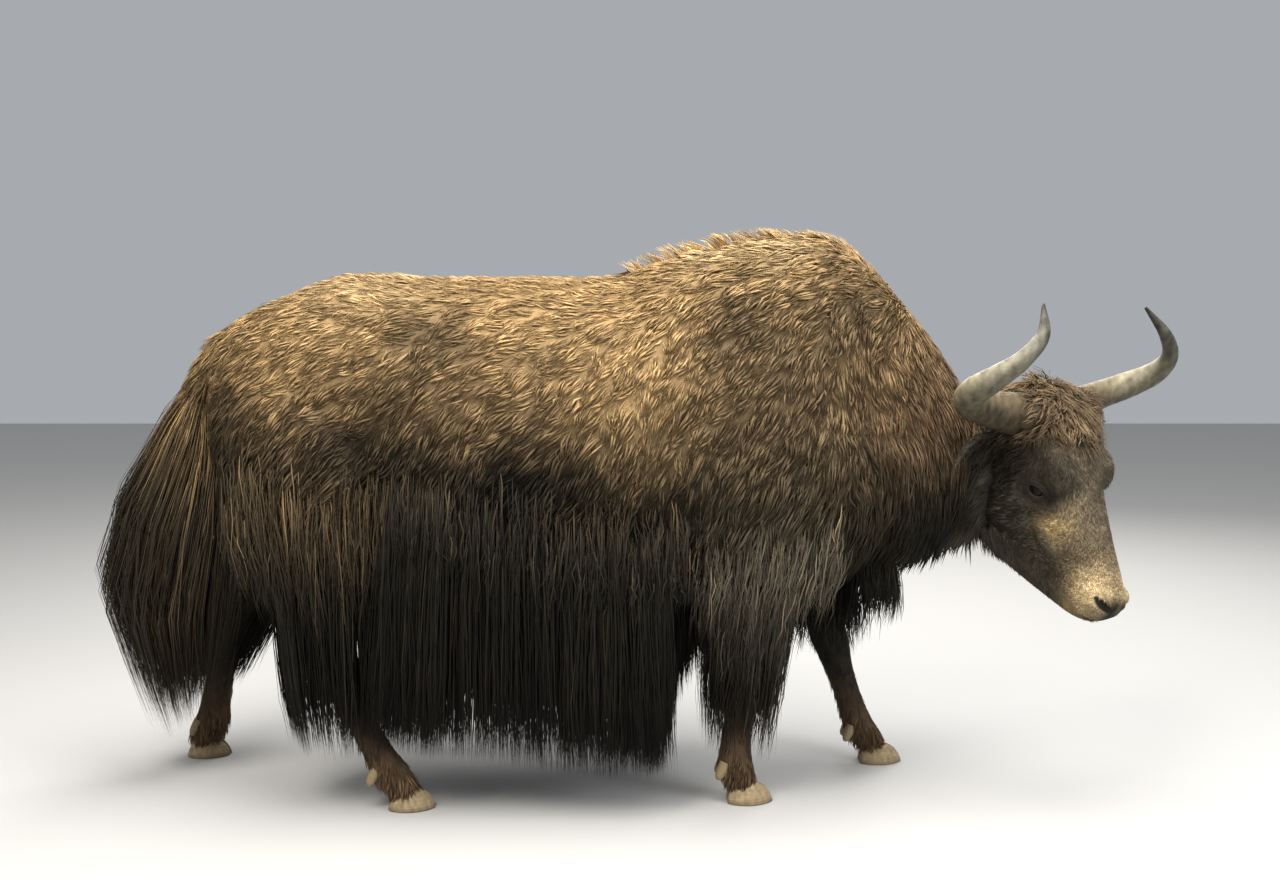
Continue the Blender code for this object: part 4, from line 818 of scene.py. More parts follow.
def ear(hand):
    """A leaf-shaped ear with a hollow cup, closed all round."""
    root, tip, opening = ear_frame(hand)
    across = (tip - root).normalized().cross(opening)
    rings = []
    for i, share in enumerate(smooth_rows([(value,) for value in EAR_PROFILE], EAR_RINGS)):
        t = i / (EAR_RINGS - 1)
        half = (EAR_HALF_WIDTH - EAR_TRIM) * max(float(share[0]), 0.12)
        curl = math.radians(EAR_CURL[0] - EAR_CURL[1] * t)
        centre = root + (tip - root) * t * 0.97 - opening * EAR_BOW * math.sin(math.pi * t)
        outer, inner = [], []
        for k in range(10):
            angle = curl * (k / 4.5 - 1)
            way = across * math.sin(angle) - opening * (math.cos(angle) * 0.75)
            outer.append(centre + way * half)
            inner.append(centre + way * max(half - EAR_THICKNESS * 0.9, half * 0.35))
        rings.append(outer + inner[::-1])
    return loft("ear", rings)


def eye_distance(local, hand):
    """How far places on the head are from the middle of an eye."""
    return np.linalg.norm(local - (EYE.x, EYE.y, EYE.z * hand), axis=1)


def eye_axes(hand):
    """An eye's own axes: the way it looks, along the lids towards the nose, and up."""
    out = HEAD_LEFT * hand * math.cos(EYE_TURN) + HEAD_FORWARD * math.sin(EYE_TURN)
    level = HEAD_FORWARD * math.cos(EYE_TURN) - HEAD_LEFT * hand * math.sin(EYE_TURN)
    forward = level * math.cos(LID_SLANT) - HEAD_UP * math.sin(LID_SLANT)
    up = HEAD_UP * math.cos(LID_SLANT) + level * math.sin(LID_SLANT)
    return out, forward, up


def rim(hand, half_length, half_height, radius, stand, lift):
    """An almond-shaped fold round an eye."""
    out, forward, up = eye_axes(hand)
    bm = bmesh.new()
    grid = []
    for t in angles(RIM_STEPS):
        point = abs(math.cos(t)) ** 3
        high = half_height * math.sin(t) * (1 - 0.25 * point) + lift
        reach = forward * half_length * math.cos(t) + up * high
        middle = mirrored(EYE, hand) + reach + out * (EYE_RADIUS * stand - 0.008 * point)
        thick = radius * (1.15 if math.sin(t) > 0 else 0.9)
        row = []
        for s in angles(RIM_SIDES):
            way = reach.normalized() * math.cos(s) + out * math.sin(s)
            row.append(bm.verts.new(middle + way * thick))
        grid.append(row)
    for i, row in enumerate(grid):
        after = grid[(i + 1) % len(grid)]
        for j in range(RIM_SIDES):
            k = (j + 1) % RIM_SIDES
            bm.faces.new((row[j], row[k], after[k], after[j]))
    return new_object("rim", bm)


def nostril_path(hand):
    """Centres and radii along the comma of a nostril."""
    rows = smooth_rows(NOSTRIL, NOSTRIL_STEPS)
    return [(on_head(a, b, side * hand), radius) for a, b, side, radius in rows]


def socket(hand):
    """A flat egg that clears the skin away in front of an eyeball."""
    axes = eye_axes(hand)
    return ellipsoid("socket", mirrored(EYE, hand) + axes[0] * SOCKET_OUT, axes, SOCKET_SIZE)


def mouth():
    """A wedge between the lips, from cheek to cheek."""
    corner, front = Vector(MOUTH_CORNER), Vector(MOUTH_FRONT)
    rise = (front - corner).normalized()
    square = Vector((-rise.y, rise.x)) * MOUTH_WIDTH / 2
    rings = []
    for side in (-0.2, 0.2):
        corners = (corner - square * 0.3, front - square, front + square, corner + square * 0.3)
        rings.append([on_head(c.x, c.y, side) for c in corners])
    return loft("mouth", rings)


def applied(obj):
    """Replaces an object's mesh by its evaluated one."""
    graph = bpy.context.evaluated_depsgraph_get()
    graph.update()
    made = bpy.data.meshes.new_from_object(obj.evaluated_get(graph))
    obj.modifiers.clear()
    old = obj.data
    obj.data = made
    bpy.data.meshes.remove(old)
    return obj


def joined(objects, name):
    """One object that holds the meshes of several, still as loose shells."""
    bm = bmesh.new()
    for obj in objects:
        bm.from_mesh(obj.data)
    for obj in objects:
        bpy.data.objects.remove(obj)
    return new_object(name, bm)


def remeshed(obj, voxel, passes):
    """One closed even surface round all that an object holds, smoothed."""
    remesh = obj.modifiers.new("remesh", "REMESH")
    remesh.mode = "VOXEL"
    remesh.voxel_size = voxel
    smooth = obj.modifiers.new("smooth", "SMOOTH")
    smooth.factor = 0.5
    smooth.iterations = passes
    return applied(obj)


def combined(obj, other, operation):
    """One Boolean with another object, which is removed afterwards."""
    modifier = obj.modifiers.new("boolean", "BOOLEAN")
    modifier.operation = operation
    modifier.solver = "MANIFOLD"
    modifier.object = other
    applied(obj)
    bpy.data.objects.remove(other)
    return obj


def carved_head():
    """The head with its lids, folds, nostrils and mouth, finely meshed."""
    head = remeshed(joined([head_loft(), *head_masses()], "head"), HEAD_VOXEL, HEAD_PASSES)
    lips = mouth()
    inside = linked("inside", head.data.copy())
    write_places(inside.data, read_places(inside.data) - read_normals(inside.data) * MOUTH_DEPTH)
    combined(lips, inside, "DIFFERENCE")
    combined(head, lips, "DIFFERENCE")
    extra = []
    for hand in SIDES.values():
        combined(head, tube("nostril", nostril_path(hand), NOSTRIL_SIDES), "DIFFERENCE")
        combined(head, socket(hand), "DIFFERENCE")
        extra += [rim(hand, *fold) for fold in LID_FOLDS]
        extra.append(ear(hand))
    return remeshed(joined([head, *extra], "head"), HEAD_VOXEL * 0.85, CARVED_PASSES)


def skin_object():
    """The whole skin as one closed mesh."""
    path = [(Vector(row[:3]), row[3] - DEPTH["tail"]) for row in smooth_rows(TAIL, THIN_RINGS)]
    tail = tube("tail", path, TAIL_SIDES)
    body = joined([torso_loft(), neck_loft(), tail, *(leg_loft(name) for name in LEGS)], "skin")
    remeshed(body, BODY_VOXEL, BODY_PASSES)
    combined(body, carved_head(), "UNION")
    ease_throat(body.data)
    return body


def ease_throat(mesh):
    """Smooths the crease where the neck runs into the cheeks."""
    places = read_places(mesh)
    ends = np.empty(len(mesh.edges) * 2, np.int32)
    mesh.edges.foreach_get("vertices", ends)
    others = ends.reshape(-1, 2)[:, ::-1].ravel()
    ahead = past_throat(places)
    share = soft_step(ahead, -0.06, 0.02) * soft_step(-ahead, -0.22, -0.14) * (1 - ear_share(places))
    count = np.bincount(ends, minlength=len(places))
    for _ in range(THROAT_PASSES):
        for i in range(3):
            middle = np.bincount(ends, weights=places[others, i], minlength=len(places)) / count
            places[:, i] += (middle - places[:, i]) * share * 0.5
    write_places(mesh, places)


def read_places(mesh):
    flat = np.empty(len(mesh.vertices) * 3, np.float32)
    mesh.vertices.foreach_get("co", flat)
    return flat.reshape(-1, 3).astype(float)


def write_places(mesh, places):
    mesh.vertices.foreach_set("co", np.ascontiguousarray(places, np.float32).ravel())
    mesh.update()


def read_normals(mesh):
    flat = np.empty(len(mesh.vertices) * 3, np.float32)
    mesh.vertex_normals.foreach_get("vector", flat)
    return flat.reshape(-1, 3).astype(float)


def read_triangles(mesh):
    mesh.calc_loop_triangles()
    flat = np.empty(len(mesh.loop_triangles) * 3, np.int32)
    mesh.loop_triangles.foreach_get("vertices", flat)
    return flat.reshape(-1, 3)


def unit(vectors):
    return vectors / np.maximum(np.linalg.norm(vectors, axis=-1, keepdims=True), 1e-9)


def along_skin(ways, normals):
    """What of each way follows the skin."""
    return ways - normals * (ways * normals).sum(axis=1, keepdims=True)


def soft_step(values, low, high):
    t = np.clip((values - low) / (high - low), 0.0, 1.0)
    return t * t * (3 - 2 * t)


def ripple(places, size, seed):
    """Smooth random waves through space, about -1 to 1, a given size apart."""
    dice = np.random.default_rng(seed)
    total = np.zeros(len(places))
    for _ in range(8):
        way = unit(dice.normal(size=3)) * 2 * math.pi / size * dice.uniform(0.6, 1.5)
        total += np.sin(places @ way + dice.uniform(0, 2 * math.pi))
    return total / 3


def past_throat(places):
    """How far each place lies ahead of the plane between neck and head."""
    a, b, _ = head_places(places).T
    return (a - THROAT[0]) * THROAT_NORMAL[0] + (b - THROAT[1]) * THROAT_NORMAL[1]


def head_share(places):
    """0 on the body and 1 on the head and ears, with soft steps at the throat and at the sides."""
    aside = head_places(places)[:, 2]
    plane = soft_step(past_throat(places), -0.02, 0.04)
    return np.maximum(plane * soft_step(-np.abs(aside), -0.205, -0.175), ear_share(places))


def ear_share(places):
    """1 on the ears and 0 elsewhere."""
    share = np.zeros(len(places))
    for hand in SIDES.values():
        root, tip, _ = (np.array(v) for v in ear_frame(hand))
        t = ((places - root) @ (tip - root)) / ((tip - root) @ (tip - root))
        off = np.linalg.norm(places - root - np.clip(t, 0, 1)[:, None] * (tip - root), axis=1)
        share = np.maximum(share, soft_step(t, 0.10, 0.22) * soft_step(-off, -0.085, -0.065))
    return share


def head_places(places):
    """Forward, up and sideways on the head."""
    return (places - np.array(POLL)) @ HEAD_AXES.T


def leg_share(places):
    """1 on the legs and 0 on the body."""
    share = np.zeros(len(places))
    for rows in LEGS.values():
        table = np.array(rows, float)[::-1]
        x, y, rx, ry = (np.interp(places[:, 2], table[:, 0], table[:, i]) for i in (1, 2, 3, 4))
        off = ((places[:, 0] - x) / (rx + 0.02)) ** 2 + ((places[:, 1] - y) / (ry + 0.02)) ** 2
        share = np.maximum(share, (off < 1.2) * soft_step(-places[:, 2], -0.82, -0.66))
    return share


def anchored(places, table):
    """How much each anchor of a table counts at each place, by its distance in side view."""
    x = places[:, None, 0] - table[None, :, 0]
    z = places[:, None, 2] - table[None, :, 1]
    weights = np.exp(-(x * x + z * z) / table[None, :, 2] ** 2) + 1e-9
    return weights / weights.sum(axis=1, keepdims=True)


def body_lie(places):
    """Way, length and lift of the coat on trunk and neck, from the table's anchors, with slow swirls."""
    table = np.array(BODY_LIE)
    weights = anchored(places, table)
    ways = np.zeros_like(places)
    ways[:, 0] = weights @ table[:, 3]
    ways[:, 2] = weights @ table[:, 4]
    swirl = 0.30 * ripple(places, 0.45, 3)
    ways[:, 0] += swirl * -ways[:, 2]
    ways[:, 2] += swirl * ways[:, 0]
    return ways, weights @ table[:, 5], weights @ table[:, 6]


def face_lie(places):
    """Way and length of the hair on the head: along the face, down the cheeks, short round the eyes."""
    a, b, aside = head_places(places).T
    cheek = soft_step(np.abs(aside), 0.055, 0.10) * soft_step(-b, 0.0, 0.10)
    ways = np.stack([1 - 1.4 * cheek, -0.15 - 0.85 * cheek, np.sign(aside) * 0.25 * (1 - cheek)], axis=1)
    throat = soft_step(-b, 0.12, 0.30) * soft_step(-a, -0.45, -0.25)
    lengths = np.interp(past_throat(places), FACE_STEPS, FACE_LENGTHS) + THROAT_LENGTH * throat
    eye = np.linalg.norm(np.stack([a - EYE.x, b - EYE.y, np.abs(aside) - EYE.z]), axis=0)
    return ways @ HEAD_AXES, np.where(eye < EYELID_REACH, EYELID_LENGTH, lengths)


def lie_of(places, normals):
    """The way the coat lies, its length and its lift at each place."""
    ways, lengths, lifts = body_lie(places)
    head = head_share(places)
    face_ways, face_lengths = face_lie(places)
    ways = mixed_in(ways, head, face_ways)
    lengths += (face_lengths - lengths) * head
    lifts += (FACE_LIFT - lifts) * head
    aside = head_places(places)[:, 2]
    for hand in SIDES.values():
        root, tip, _ = ear_frame(hand)
        ear = ear_share(places) * (np.sign(aside) == hand)
        ways = mixed_in(ways, ear, np.array((tip - root).normalized()) + EAR_DROOP)
        lengths += (EAR_LENGTH - lengths) * ear
    leg = leg_share(places)
    ways = mixed_in(ways, leg, SHIN_WAY)
    lengths += (np.interp(places[:, 2], SHIN_HEIGHTS, SHIN_LENGTHS) - lengths) * leg
    lifts += (SHIN_LIFT - lifts) * leg
    ways = along_skin(unit(ways), normals)
    flat = np.clip(np.linalg.norm(ways, axis=1) / WHORL, 0.25, 1)
    return unit(ways), lengths * flat, np.radians(lifts * flat)


def mixed_in(colours, share, tone):
    """Colours drawn towards one tone, or a tone for each place, by a share for each place."""
    return colours + (np.array(tone) - colours) * share[:, None]


def ramp(values, steps, tones):
    """Tones read off at each value between rising steps."""
    rows = np.array(tones)
    return np.stack([np.interp(values, steps, rows[:, i]) for i in range(3)], axis=-1)


def even_ramp(values, tones):
    """Tones read off at each value from 0 to 1."""
    return ramp(values, np.linspace(0, 1, len(tones)), tones)


def varied(dice, count, spread, low, high):
    """Random factors round 1, no further below or above it than given."""
    return 1 + dice.normal(0, spread, count).clip(low, high)


def swings(dice, t, count, slow, fast):
    """Waves along strands, each with its own pace and start."""
    paces = dice.uniform(slow, fast, count)[:, None]
    return np.sin(t[None] * paces + dice.uniform(0, 6.28, count)[:, None])


def tint(places):
    """Colour of the coat at each place: height tones with painted shade lower down, then patches, then head
    and legs, then mottling that is partly painted shade between clumps.
    """
    moved = places + np.stack([ripple(places, 0.16, seed) for seed in (11, 12, 13)], axis=1) * 0.022
    # The body's tones by height are partly painted shade: darker lower down, lighter on top
    heights, tones = zip(*BODY_TONES_AND_SHADE)
    colours = ramp(moved[:, 2], heights, tones)
    for x, z, reach_x, reach_z, tone, strength in BODY_MARKS:
        off = ((moved[:, 0] - x) / reach_x) ** 2 + ((moved[:, 2] - z) / reach_z) ** 2
        colours = mixed_in(colours, strength * np.exp(-off), tone)

    a, b, aside = head_places(places + (moved - places) * 0.35).T
    face = np.tile(np.array(CHEEK), (len(places), 1))
    for x, y, z, reach, tone, strength in HEAD_MARKS:
        off = ((a - x) ** 2 + (b - y) ** 2 + (np.abs(aside) - z) ** 2) / reach**2
        face = mixed_in(face, strength * np.exp(-off), tone)
    colours = mixed_in(colours, head_share(places), face)
    colours = mixed_in(colours, leg_share(places), ramp(places[:, 2], LEG_HEIGHTS, LEG_TONES))
    # Mottling, partly painted shade in the hollows between clumps of hair
    mottle = 1
    for strength, size, seed in MOTTLING_AND_CLUMP_SHADE:
        mottle = mottle + strength * ripple(places, size, seed)
    return colours * mottle[:, None]


class Ground:
    """The skin's surface in arrays, on which roots are placed."""

    def __init__(self, mesh):
        self.places = read_places(mesh)
        self.normals = read_normals(mesh)
        self.triangles = read_triangles(mesh)
        corners = self.places[self.triangles]
        cross = np.cross(corners[:, 1] - corners[:, 0], corners[:, 2] - corners[:, 0])
        self.middles = corners.mean(axis=1)
        self.areas = np.linalg.norm(cross, axis=1) / 2

    def scatter(self, weights, count, seed):
        """Random roots with their normals, as many to an area as the weights say."""
        dice = np.random.default_rng(seed)
        chance = self.areas * weights
        chosen = dice.choice(len(chance), count, p=chance / chance.sum())
        u, v = dice.random(count), dice.random(count)
        over = u + v > 1
        u[over], v[over] = 1 - u[over], 1 - v[over]
        shares = np.stack([1 - u - v, u, v], axis=1)[:, :, None]
        corners = self.triangles[chosen]
        normals = unit((self.normals[corners] * shares).sum(axis=1))
        return (self.places[corners] * shares).sum(axis=1), normals


def grown(roots, normals, ways, lengths, lifts, points, droop):
    """Paths that leave the skin along the lie, raised by a lift, and then bend down under their weight."""
    raised = unit(ways * np.cos(lifts)[:, None] + normals * np.sin(lifts)[:, None])
    down = np.zeros_like(roots)
    down[:, 2] = -1.0
    down -= normals * np.minimum((down * normals).sum(axis=1, keepdims=True), 0.0)
    target = unit(ways * (1 - droop) + down * droop)
    place = roots - normals * (lengths * 0.05)[:, None]
    paths = [place]
    for k in range(points - 1):
        t = (k + 0.5) / (points - 1)
        place = place + unit(raised * (1 - t) + target * t) * (lengths / (points - 1))[:, None]
        paths.append(place)
    return np.stack(paths, axis=1)


def clumped(paths, share, pull, seed):
    """Draws the far end of each path towards its nearest leader's, and says which leader that is."""
    dice = np.random.default_rng(seed)
    leaders = dice.choice(len(paths), max(1, int(len(paths) * share)), replace=False)
    tree = kdtree.KDTree(len(leaders))
    for i, k in enumerate(leaders):
        tree.insert(paths[k, 0], i)
    tree.balance()
    nearest = leaders[[tree.find(root)[1] for root in paths[:, 0]]]
    far = np.linspace(0, 1, paths.shape[1]) ** 1.3 * pull
    return paths + (paths[nearest] - paths) * far[None, :, None], nearest


def strand_mesh(paths, widths, profile, ups):
    """Vertices and triangles of closed three-sided strands, pointed at their far ends."""
    count, points, _ = paths.shape
    along = unit(np.gradient(paths, axis=1))
    side = unit(np.cross(along, ups[:, None, :]))
    rise = np.cross(side, along)
    half = (widths[:, None] * np.array(profile)[None, :] / 2)[:, :-1, None]
    rings = paths[:, :-1]
    left = rings + side[:, :-1] * half
    right = rings - side[:, :-1] * half
    ridge = rings + rise[:, :-1] * half * RIDGE_SHARE
    body = np.stack([left, right, ridge], axis=2).reshape(count, -1, 3)
    vertices = np.concatenate([body, paths[:, -1:]], axis=1)
    tip = (points - 1) * 3
    pattern = [(0, 2, 1)]
    for low in range(0, tip - 3, 3):
        for c in range(3):
            d = (c + 1) % 3
            pattern += [(low + c, low + d, low + 3 + d), (low + c, low + 3 + d, low + 3 + c)]
    pattern += [(tip - 3 + c, tip - 3 + (c + 1) % 3, tip) for c in range(3)]
    triangles = np.array(pattern)[None] + (np.arange(count) * (tip + 1))[:, None, None]
    return vertices.reshape(-1, 3), triangles.reshape(-1, 3)


def unwrapped(roots, middle, along):
    """Places on an unwrap round an axis: the share along it, and the angle round it."""
    along = unit(np.array(along, float))
    first = unit(np.cross(along, (0.31, 0.87, 0.21)))
    second = np.cross(along, first)
    offset = roots - np.array(middle)
    level = offset @ along
    level = (level - level.min()) / (np.ptp(level) + 1e-9)
    angle = np.arctan2(offset @ first, offset @ second) / (2 * math.pi) + 0.5
    return np.stack([level, angle], axis=1) * 0.98 + 0.01


def strand_piece(name, nodes, material, paths, widths, profile, ups, colours, wrap):
    """One coat piece from paths, kept above the floor, with its colours and its bake map."""
    paths[:, :, 2] = np.maximum(paths[:, :, 2], FLOOR_GAP)
    vertices, triangles = strand_mesh(paths, widths, profile, ups)
    roots = unwrapped(paths[:, 0], *wrap)
    rings = paths.shape[1] - 1
    corner = np.zeros((rings * 3 + 1, 2))
    corner[:-1, 0] = np.tile([-0.5, 0.5, 0.0], rings)
    corner[:-1, 1] = np.repeat(np.linspace(-0.5, 0.5, rings + 1)[:-1], 3)
    corner[-1, 1] = 0.5
    places = roots[:, None, :] + corner[None] * BAKE_PATCH
    tones = np.concatenate([np.repeat(colours[:, :-1], 3, axis=1), colours[:, -1:]], axis=1)
    coloured_piece(name, nodes, material, vertices, triangles, tones.reshape(-1, 3), places.reshape(-1, 2))


def coloured_piece(name, nodes, material, vertices, triangles, tones, places=None):
    """A smooth piece of the model from arrays, with a colour for each vertex, in the shared frame."""
    mesh = bpy.data.meshes.new(name)
    mesh.vertices.add(len(vertices))
    mesh.loops.add(triangles.size)
    mesh.polygons.add(len(triangles))
    mesh.vertices.foreach_set("co", (vertices + np.array(CENTRING)).astype(np.float32).ravel())
    mesh.loops.foreach_set("vertex_index", triangles.astype(np.int32).ravel())
    mesh.polygons.foreach_set("loop_start", np.arange(0, triangles.size, 3, dtype=np.int32))
    mesh.polygons.foreach_set("use_smooth", np.ones(len(triangles), bool))
    mesh.update(calc_edges=True)
    mesh.validate()
    if places is not None:
        bake = mesh.uv_layers.new(name="OFBake")
        bake.data.foreach_set("uv", places[triangles.ravel()].astype(np.float32).ravel())
    rgba = np.ones((len(vertices), 4), np.float32)
    rgba[:, :3] = np.clip(tones, 0.0, 1.0)
    layer = mesh.color_attributes.new("tint", "FLOAT_COLOR", "POINT")
    layer.data.foreach_set("color", rgba.ravel())
    mesh.materials.append(material)
    obj = linked(name, mesh)
    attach(obj, "root")
    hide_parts(*nodes)


def shaded(roots, seed, low, high, points, group):
    """Colours along each strand: darker at the root as painted shade near the skin, lighter at the tip, no
    two strands alike.
    """
    dice = np.random.default_rng(seed)
    own = varied(dice, len(roots), SHADE_SPREAD, -2 * SHADE_SPREAD, 2 * SHADE_SPREAD)
    own *= varied(dice, len(roots), SHADE_SPREAD, -2 * SHADE_SPREAD, 2 * SHADE_SPREAD)[group]
    # Painted shade: darker towards the root
    along = np.linspace(low, high, points)
    return tint(roots)[:, None, :] * own[:, None, None] * along[None, :, None]


def short_coat(ground, name, nodes, material, weights, count, seed, look):
    """Tufts rooted in the skin over one region."""
    profile, width, length, droop, pull, share, low, high = look
    dice = np.random.default_rng(seed)
    roots, normals = ground.scatter(weights, count, seed + 1)
    ways, lengths, lifts = lie_of(roots, normals)
    ways = unit(ways + np.cross(normals, ways) * dice.normal(0, TURN_SPREAD, count)[:, None])
    lengths = lengths * length * dice.uniform(0.65, 1.35, count)
    lifts = lifts * dice.uniform(0.45, 1.35, count)
    paths = grown(roots, normals, ways, lengths, lifts, len(profile), droop)
    paths, group = clumped(paths, share, pull, seed + 2)
    colours = shaded(roots, seed + 3, low, high, len(profile), group)
    widths = width * dice.uniform(0.7, 1.3, count) * np.clip(lengths / FULL_WIDTH_LENGTH, 0.35, 1.5)
    strand_piece(name, nodes, material, paths, widths, profile, normals, colours, ROUND_BODY)


def between_guides(dice, guides, count, closed, depth, sway, stagger):
    """Four places for each strand between guides, drawn in, staggered and swayed, and the way across."""
    table = np.array(guides, float)
    if closed:
        table = np.concatenate([table, table[:1]])
    steps = dice.random(count) * (len(table) - 1)
    low = np.minimum(steps.astype(int), len(table) - 2)
    mix = (steps - low)[:, None, None]
    places = table[low] * (1 - mix) + table[low + 1] * mix
    across = unit(table[low + 1].sum(axis=1) - table[low].sum(axis=1))
    middle = table.mean(axis=0) if closed else places * np.array((1, 0, 1))
    inward = dice.uniform(*depth, count)[:, None, None]
    places[:, 1:] += (np.broadcast_to(middle, places.shape)[:, 1:] - places[:, 1:]) * inward
    fall = dice.uniform(-stagger, stagger, count)
    places[:, 0, 2] += fall
    places[:, 1, 2] += fall * 0.7
    lean = dice.normal(0, sway, count)[:, None]
    for k, part in enumerate(SWAY_SHARES):
        places[:, k] += across * lean * part
    return places, across


def hung_paths(guides, count, seed, closed=False, depth=(0.0, 0.35), sway=0.03, reach=(0.72, 1.04),
               stagger=0.0, layers=0.0, wave=0.014):
    """Wavy strands hung between guides, the way across, and their shares of the way from root to tip."""
    dice = np.random.default_rng(seed)
    points = len(STRAND_PROFILE)
    places, across = between_guides(dice, guides, count, closed, depth, sway, stagger)
    basis = np.array(smooth_rows(np.eye(4), points * 4 - 3))
    full = np.einsum("pk,nkd->npd", basis, places)
    starts = dice.uniform(0, layers, count) if layers else np.zeros(count)
    ends = (starts + dice.uniform(*reach, count) * (1 - layers)).clip(0, 1)
    t = np.linspace(0, 1, points)
    way = starts[:, None] + (ends - starts)[:, None] * t[None]
    at = way * (full.shape[1] - 1)
    whole = np.minimum(at.astype(int), full.shape[1] - 2)
    part = (at - whole)[:, :, None]
    rows = np.arange(count)[:, None]
    paths = full[rows, whole] * (1 - part) + full[rows, whole + 1] * part
    swing = swings(dice, t, count, 5, 13) * t[None]
    paths += across[:, None, :] * (swing * dice.uniform(wave / 7, wave, count)[:, None])[:, :, None]
    return paths, across, way


def long_coat(name, nodes, material, guides, count, seed, tones, wrap=ROUND_BODY, width=STRAND_WIDTH,
              pull=0.45, blend=0.0, **hang):
    """Long strands on guides, gathered into pointed locks, coloured from root tone to tip tone."""
    dice = np.random.default_rng(seed + 5)
    paths, across, way = hung_paths(guides, count, seed, **hang)
    paths, group = clumped(paths, LOCK_SHARE, pull, seed + 1)
    ups = unit(np.cross(across, paths[:, -1] - paths[:, 0]))
    own = varied(dice, count, 0.22, -0.4, 0.5)
    own *= varied(dice, count, 0.25, -0.4, 0.6)[group]
    colours = even_ramp(way, tones)
    if blend:
        rooted = 1 - soft_step(way, 0.15, blend)[:, :, None]
        colours += (tint(paths[:, 0])[:, None] * 1.1 - colours) * rooted
    colours *= own[:, None, None]
    colours[dice.random(count) < FAIR_SHARE] *= np.array(FAIR)
    widths = width * dice.uniform(0.55, 1.35, count)
    strand_piece(name, nodes, material, paths, widths, STRAND_PROFILE, ups, colours, wrap)


def drape_guides(rows, hand, stand):
    """Four places from root to tip for each station of hair that hangs beside the body."""
    root, out, middle, tip = stand
    guides = []
    for x0, z0, x1, z1 in rows:
        guides.append((
            (x0, root * hand, z0),
            (x0 + (x1 - x0) * 0.15, out * hand, z0 - (z0 - z1) * 0.17),
            (x0 + (x1 - x0) * 0.55, middle * hand, (z0 + z1) / 2 - (z0 - z1) * 0.04),
            (x1, tip * hand, z1),
        ))
    return guides


def fore_guides(name, rows):
    """Guides round a fore leg, each through four places from root to tip."""
    guides = []
    for t in angles(SLEEVE_GUIDES):
        guide = []
        for z, along, aside in rows:
            x, y, _, _ = leg_at(name, z)
            guide.append((x + along * math.cos(t), y + aside * math.sin(t), z))
        guides.append(guide)
    return guides


def crest_guides():
    """Short bristles along the ridge of the hump, leaning back."""
    guides = []
    for x, top in CREST:
        for aside in (-CREST_HALF_WIDTH, CREST_HALF_WIDTH):
            guides.append([(x + CREST_LEAN * f, aside, top + rise) for f, rise in CREST_RISE])
    return guides


def curls(ground, name, material, patch, hand, seed, tones, mess=0.55, lift=62):
    """A messy mop of curly strands on the head that stand up from the skin and fall over."""
    middle, sizes, edge, count, length = patch
    off = (head_places(ground.middles) - np.array(middle) * (1, 1, hand)) / sizes
    weights = soft_step(-np.linalg.norm(off, axis=1), -1.1, edge)
    dice = np.random.default_rng(seed)
    points = len(STRAND_PROFILE)
    roots, normals = ground.scatter(weights, count, seed + 1)
    ways, _, _ = lie_of(roots, normals)
    ways = unit(along_skin(unit(ways + dice.normal(0, mess, (count, 3))), normals))
    lengths = length * dice.uniform(0.55, 1.25, count)
    paths = grown(roots, normals, ways, lengths, np.radians(dice.uniform(10, lift, count)), points, 0.55)
    t = np.linspace(0, 1, points)
    across = unit(np.cross(ways, normals))
    wave = swings(dice, t, count, 4, 9)
    paths = paths + across[:, None, :] * (wave * t[None] * 0.022 * mess)[:, :, None]
    paths, group = clumped(paths, 0.09, 0.7, seed + 2)
    own = varied(dice, count, 0.22, -0.4, 0.6)
    own *= varied(dice, count, 0.25, -0.4, 0.6)[group]
    colours = even_ramp(t, tones)[None] * own[:, None, None]
    widths = STRAND_WIDTH * dice.uniform(0.6, 1.4, count)
    strand_piece(name, ["head"], material, paths, widths, STRAND_PROFILE, normals, colours, ROUND_HEAD)


def horn_path(hand):
    """Places and radii along the middle of a horn."""
    rows = smooth_rows(HORN, HORN_STEPS)
    return np.array([[*on_head(a, b, c * hand), radius] for a, b, c, radius in rows])


def horn_collar(side, hand, hair):
    """Messy hair that grows round the root of a horn and lies out over its base."""
    dice = np.random.default_rng(490 + hand)
    count = COLLAR_COUNT
    points = len(BLADE_PROFILE)
    path = horn_path(hand)
    steps = dice.integers(0, COLLAR_REACH, count)
    along = unit(path[steps + 2, :3] - path[steps, :3])
    turn = dice.uniform(0, 2 * math.pi, count)
    first = unit(np.cross(along, HORN_SIDE))
    radial = first * np.cos(turn)[:, None] + np.cross(along, first) * np.sin(turn)[:, None]
    roots = path[steps, :3] + radial * path[steps, 3:4]
    ways = unit(along + dice.normal(0, 0.35, (count, 3)) + np.array((0.0, 0.0, -0.15)))
    ways = unit(along_skin(ways, radial))
    lengths = COLLAR_LENGTH * dice.uniform(0.4, 1.2, count)
    paths = grown(roots, radial, ways, lengths, np.radians(dice.uniform(4, 26, count)), points, 0.25)
    paths, _ = clumped(paths, 0.12, 0.6, 491)
    own = varied(dice, count, 0.25, -0.45, 0.6)
    colours = even_ramp(np.linspace(0, 1, points), POLL_TONES)[None] * own[:, None, None]
    widths = COLLAR_WIDTH * dice.uniform(0.6, 1.4, count)
    name = "horn_collar_" + side
    strand_piece(name, ["head"], hair, paths, widths, BLADE_PROFILE, radial, colours, ROUND_HEAD)


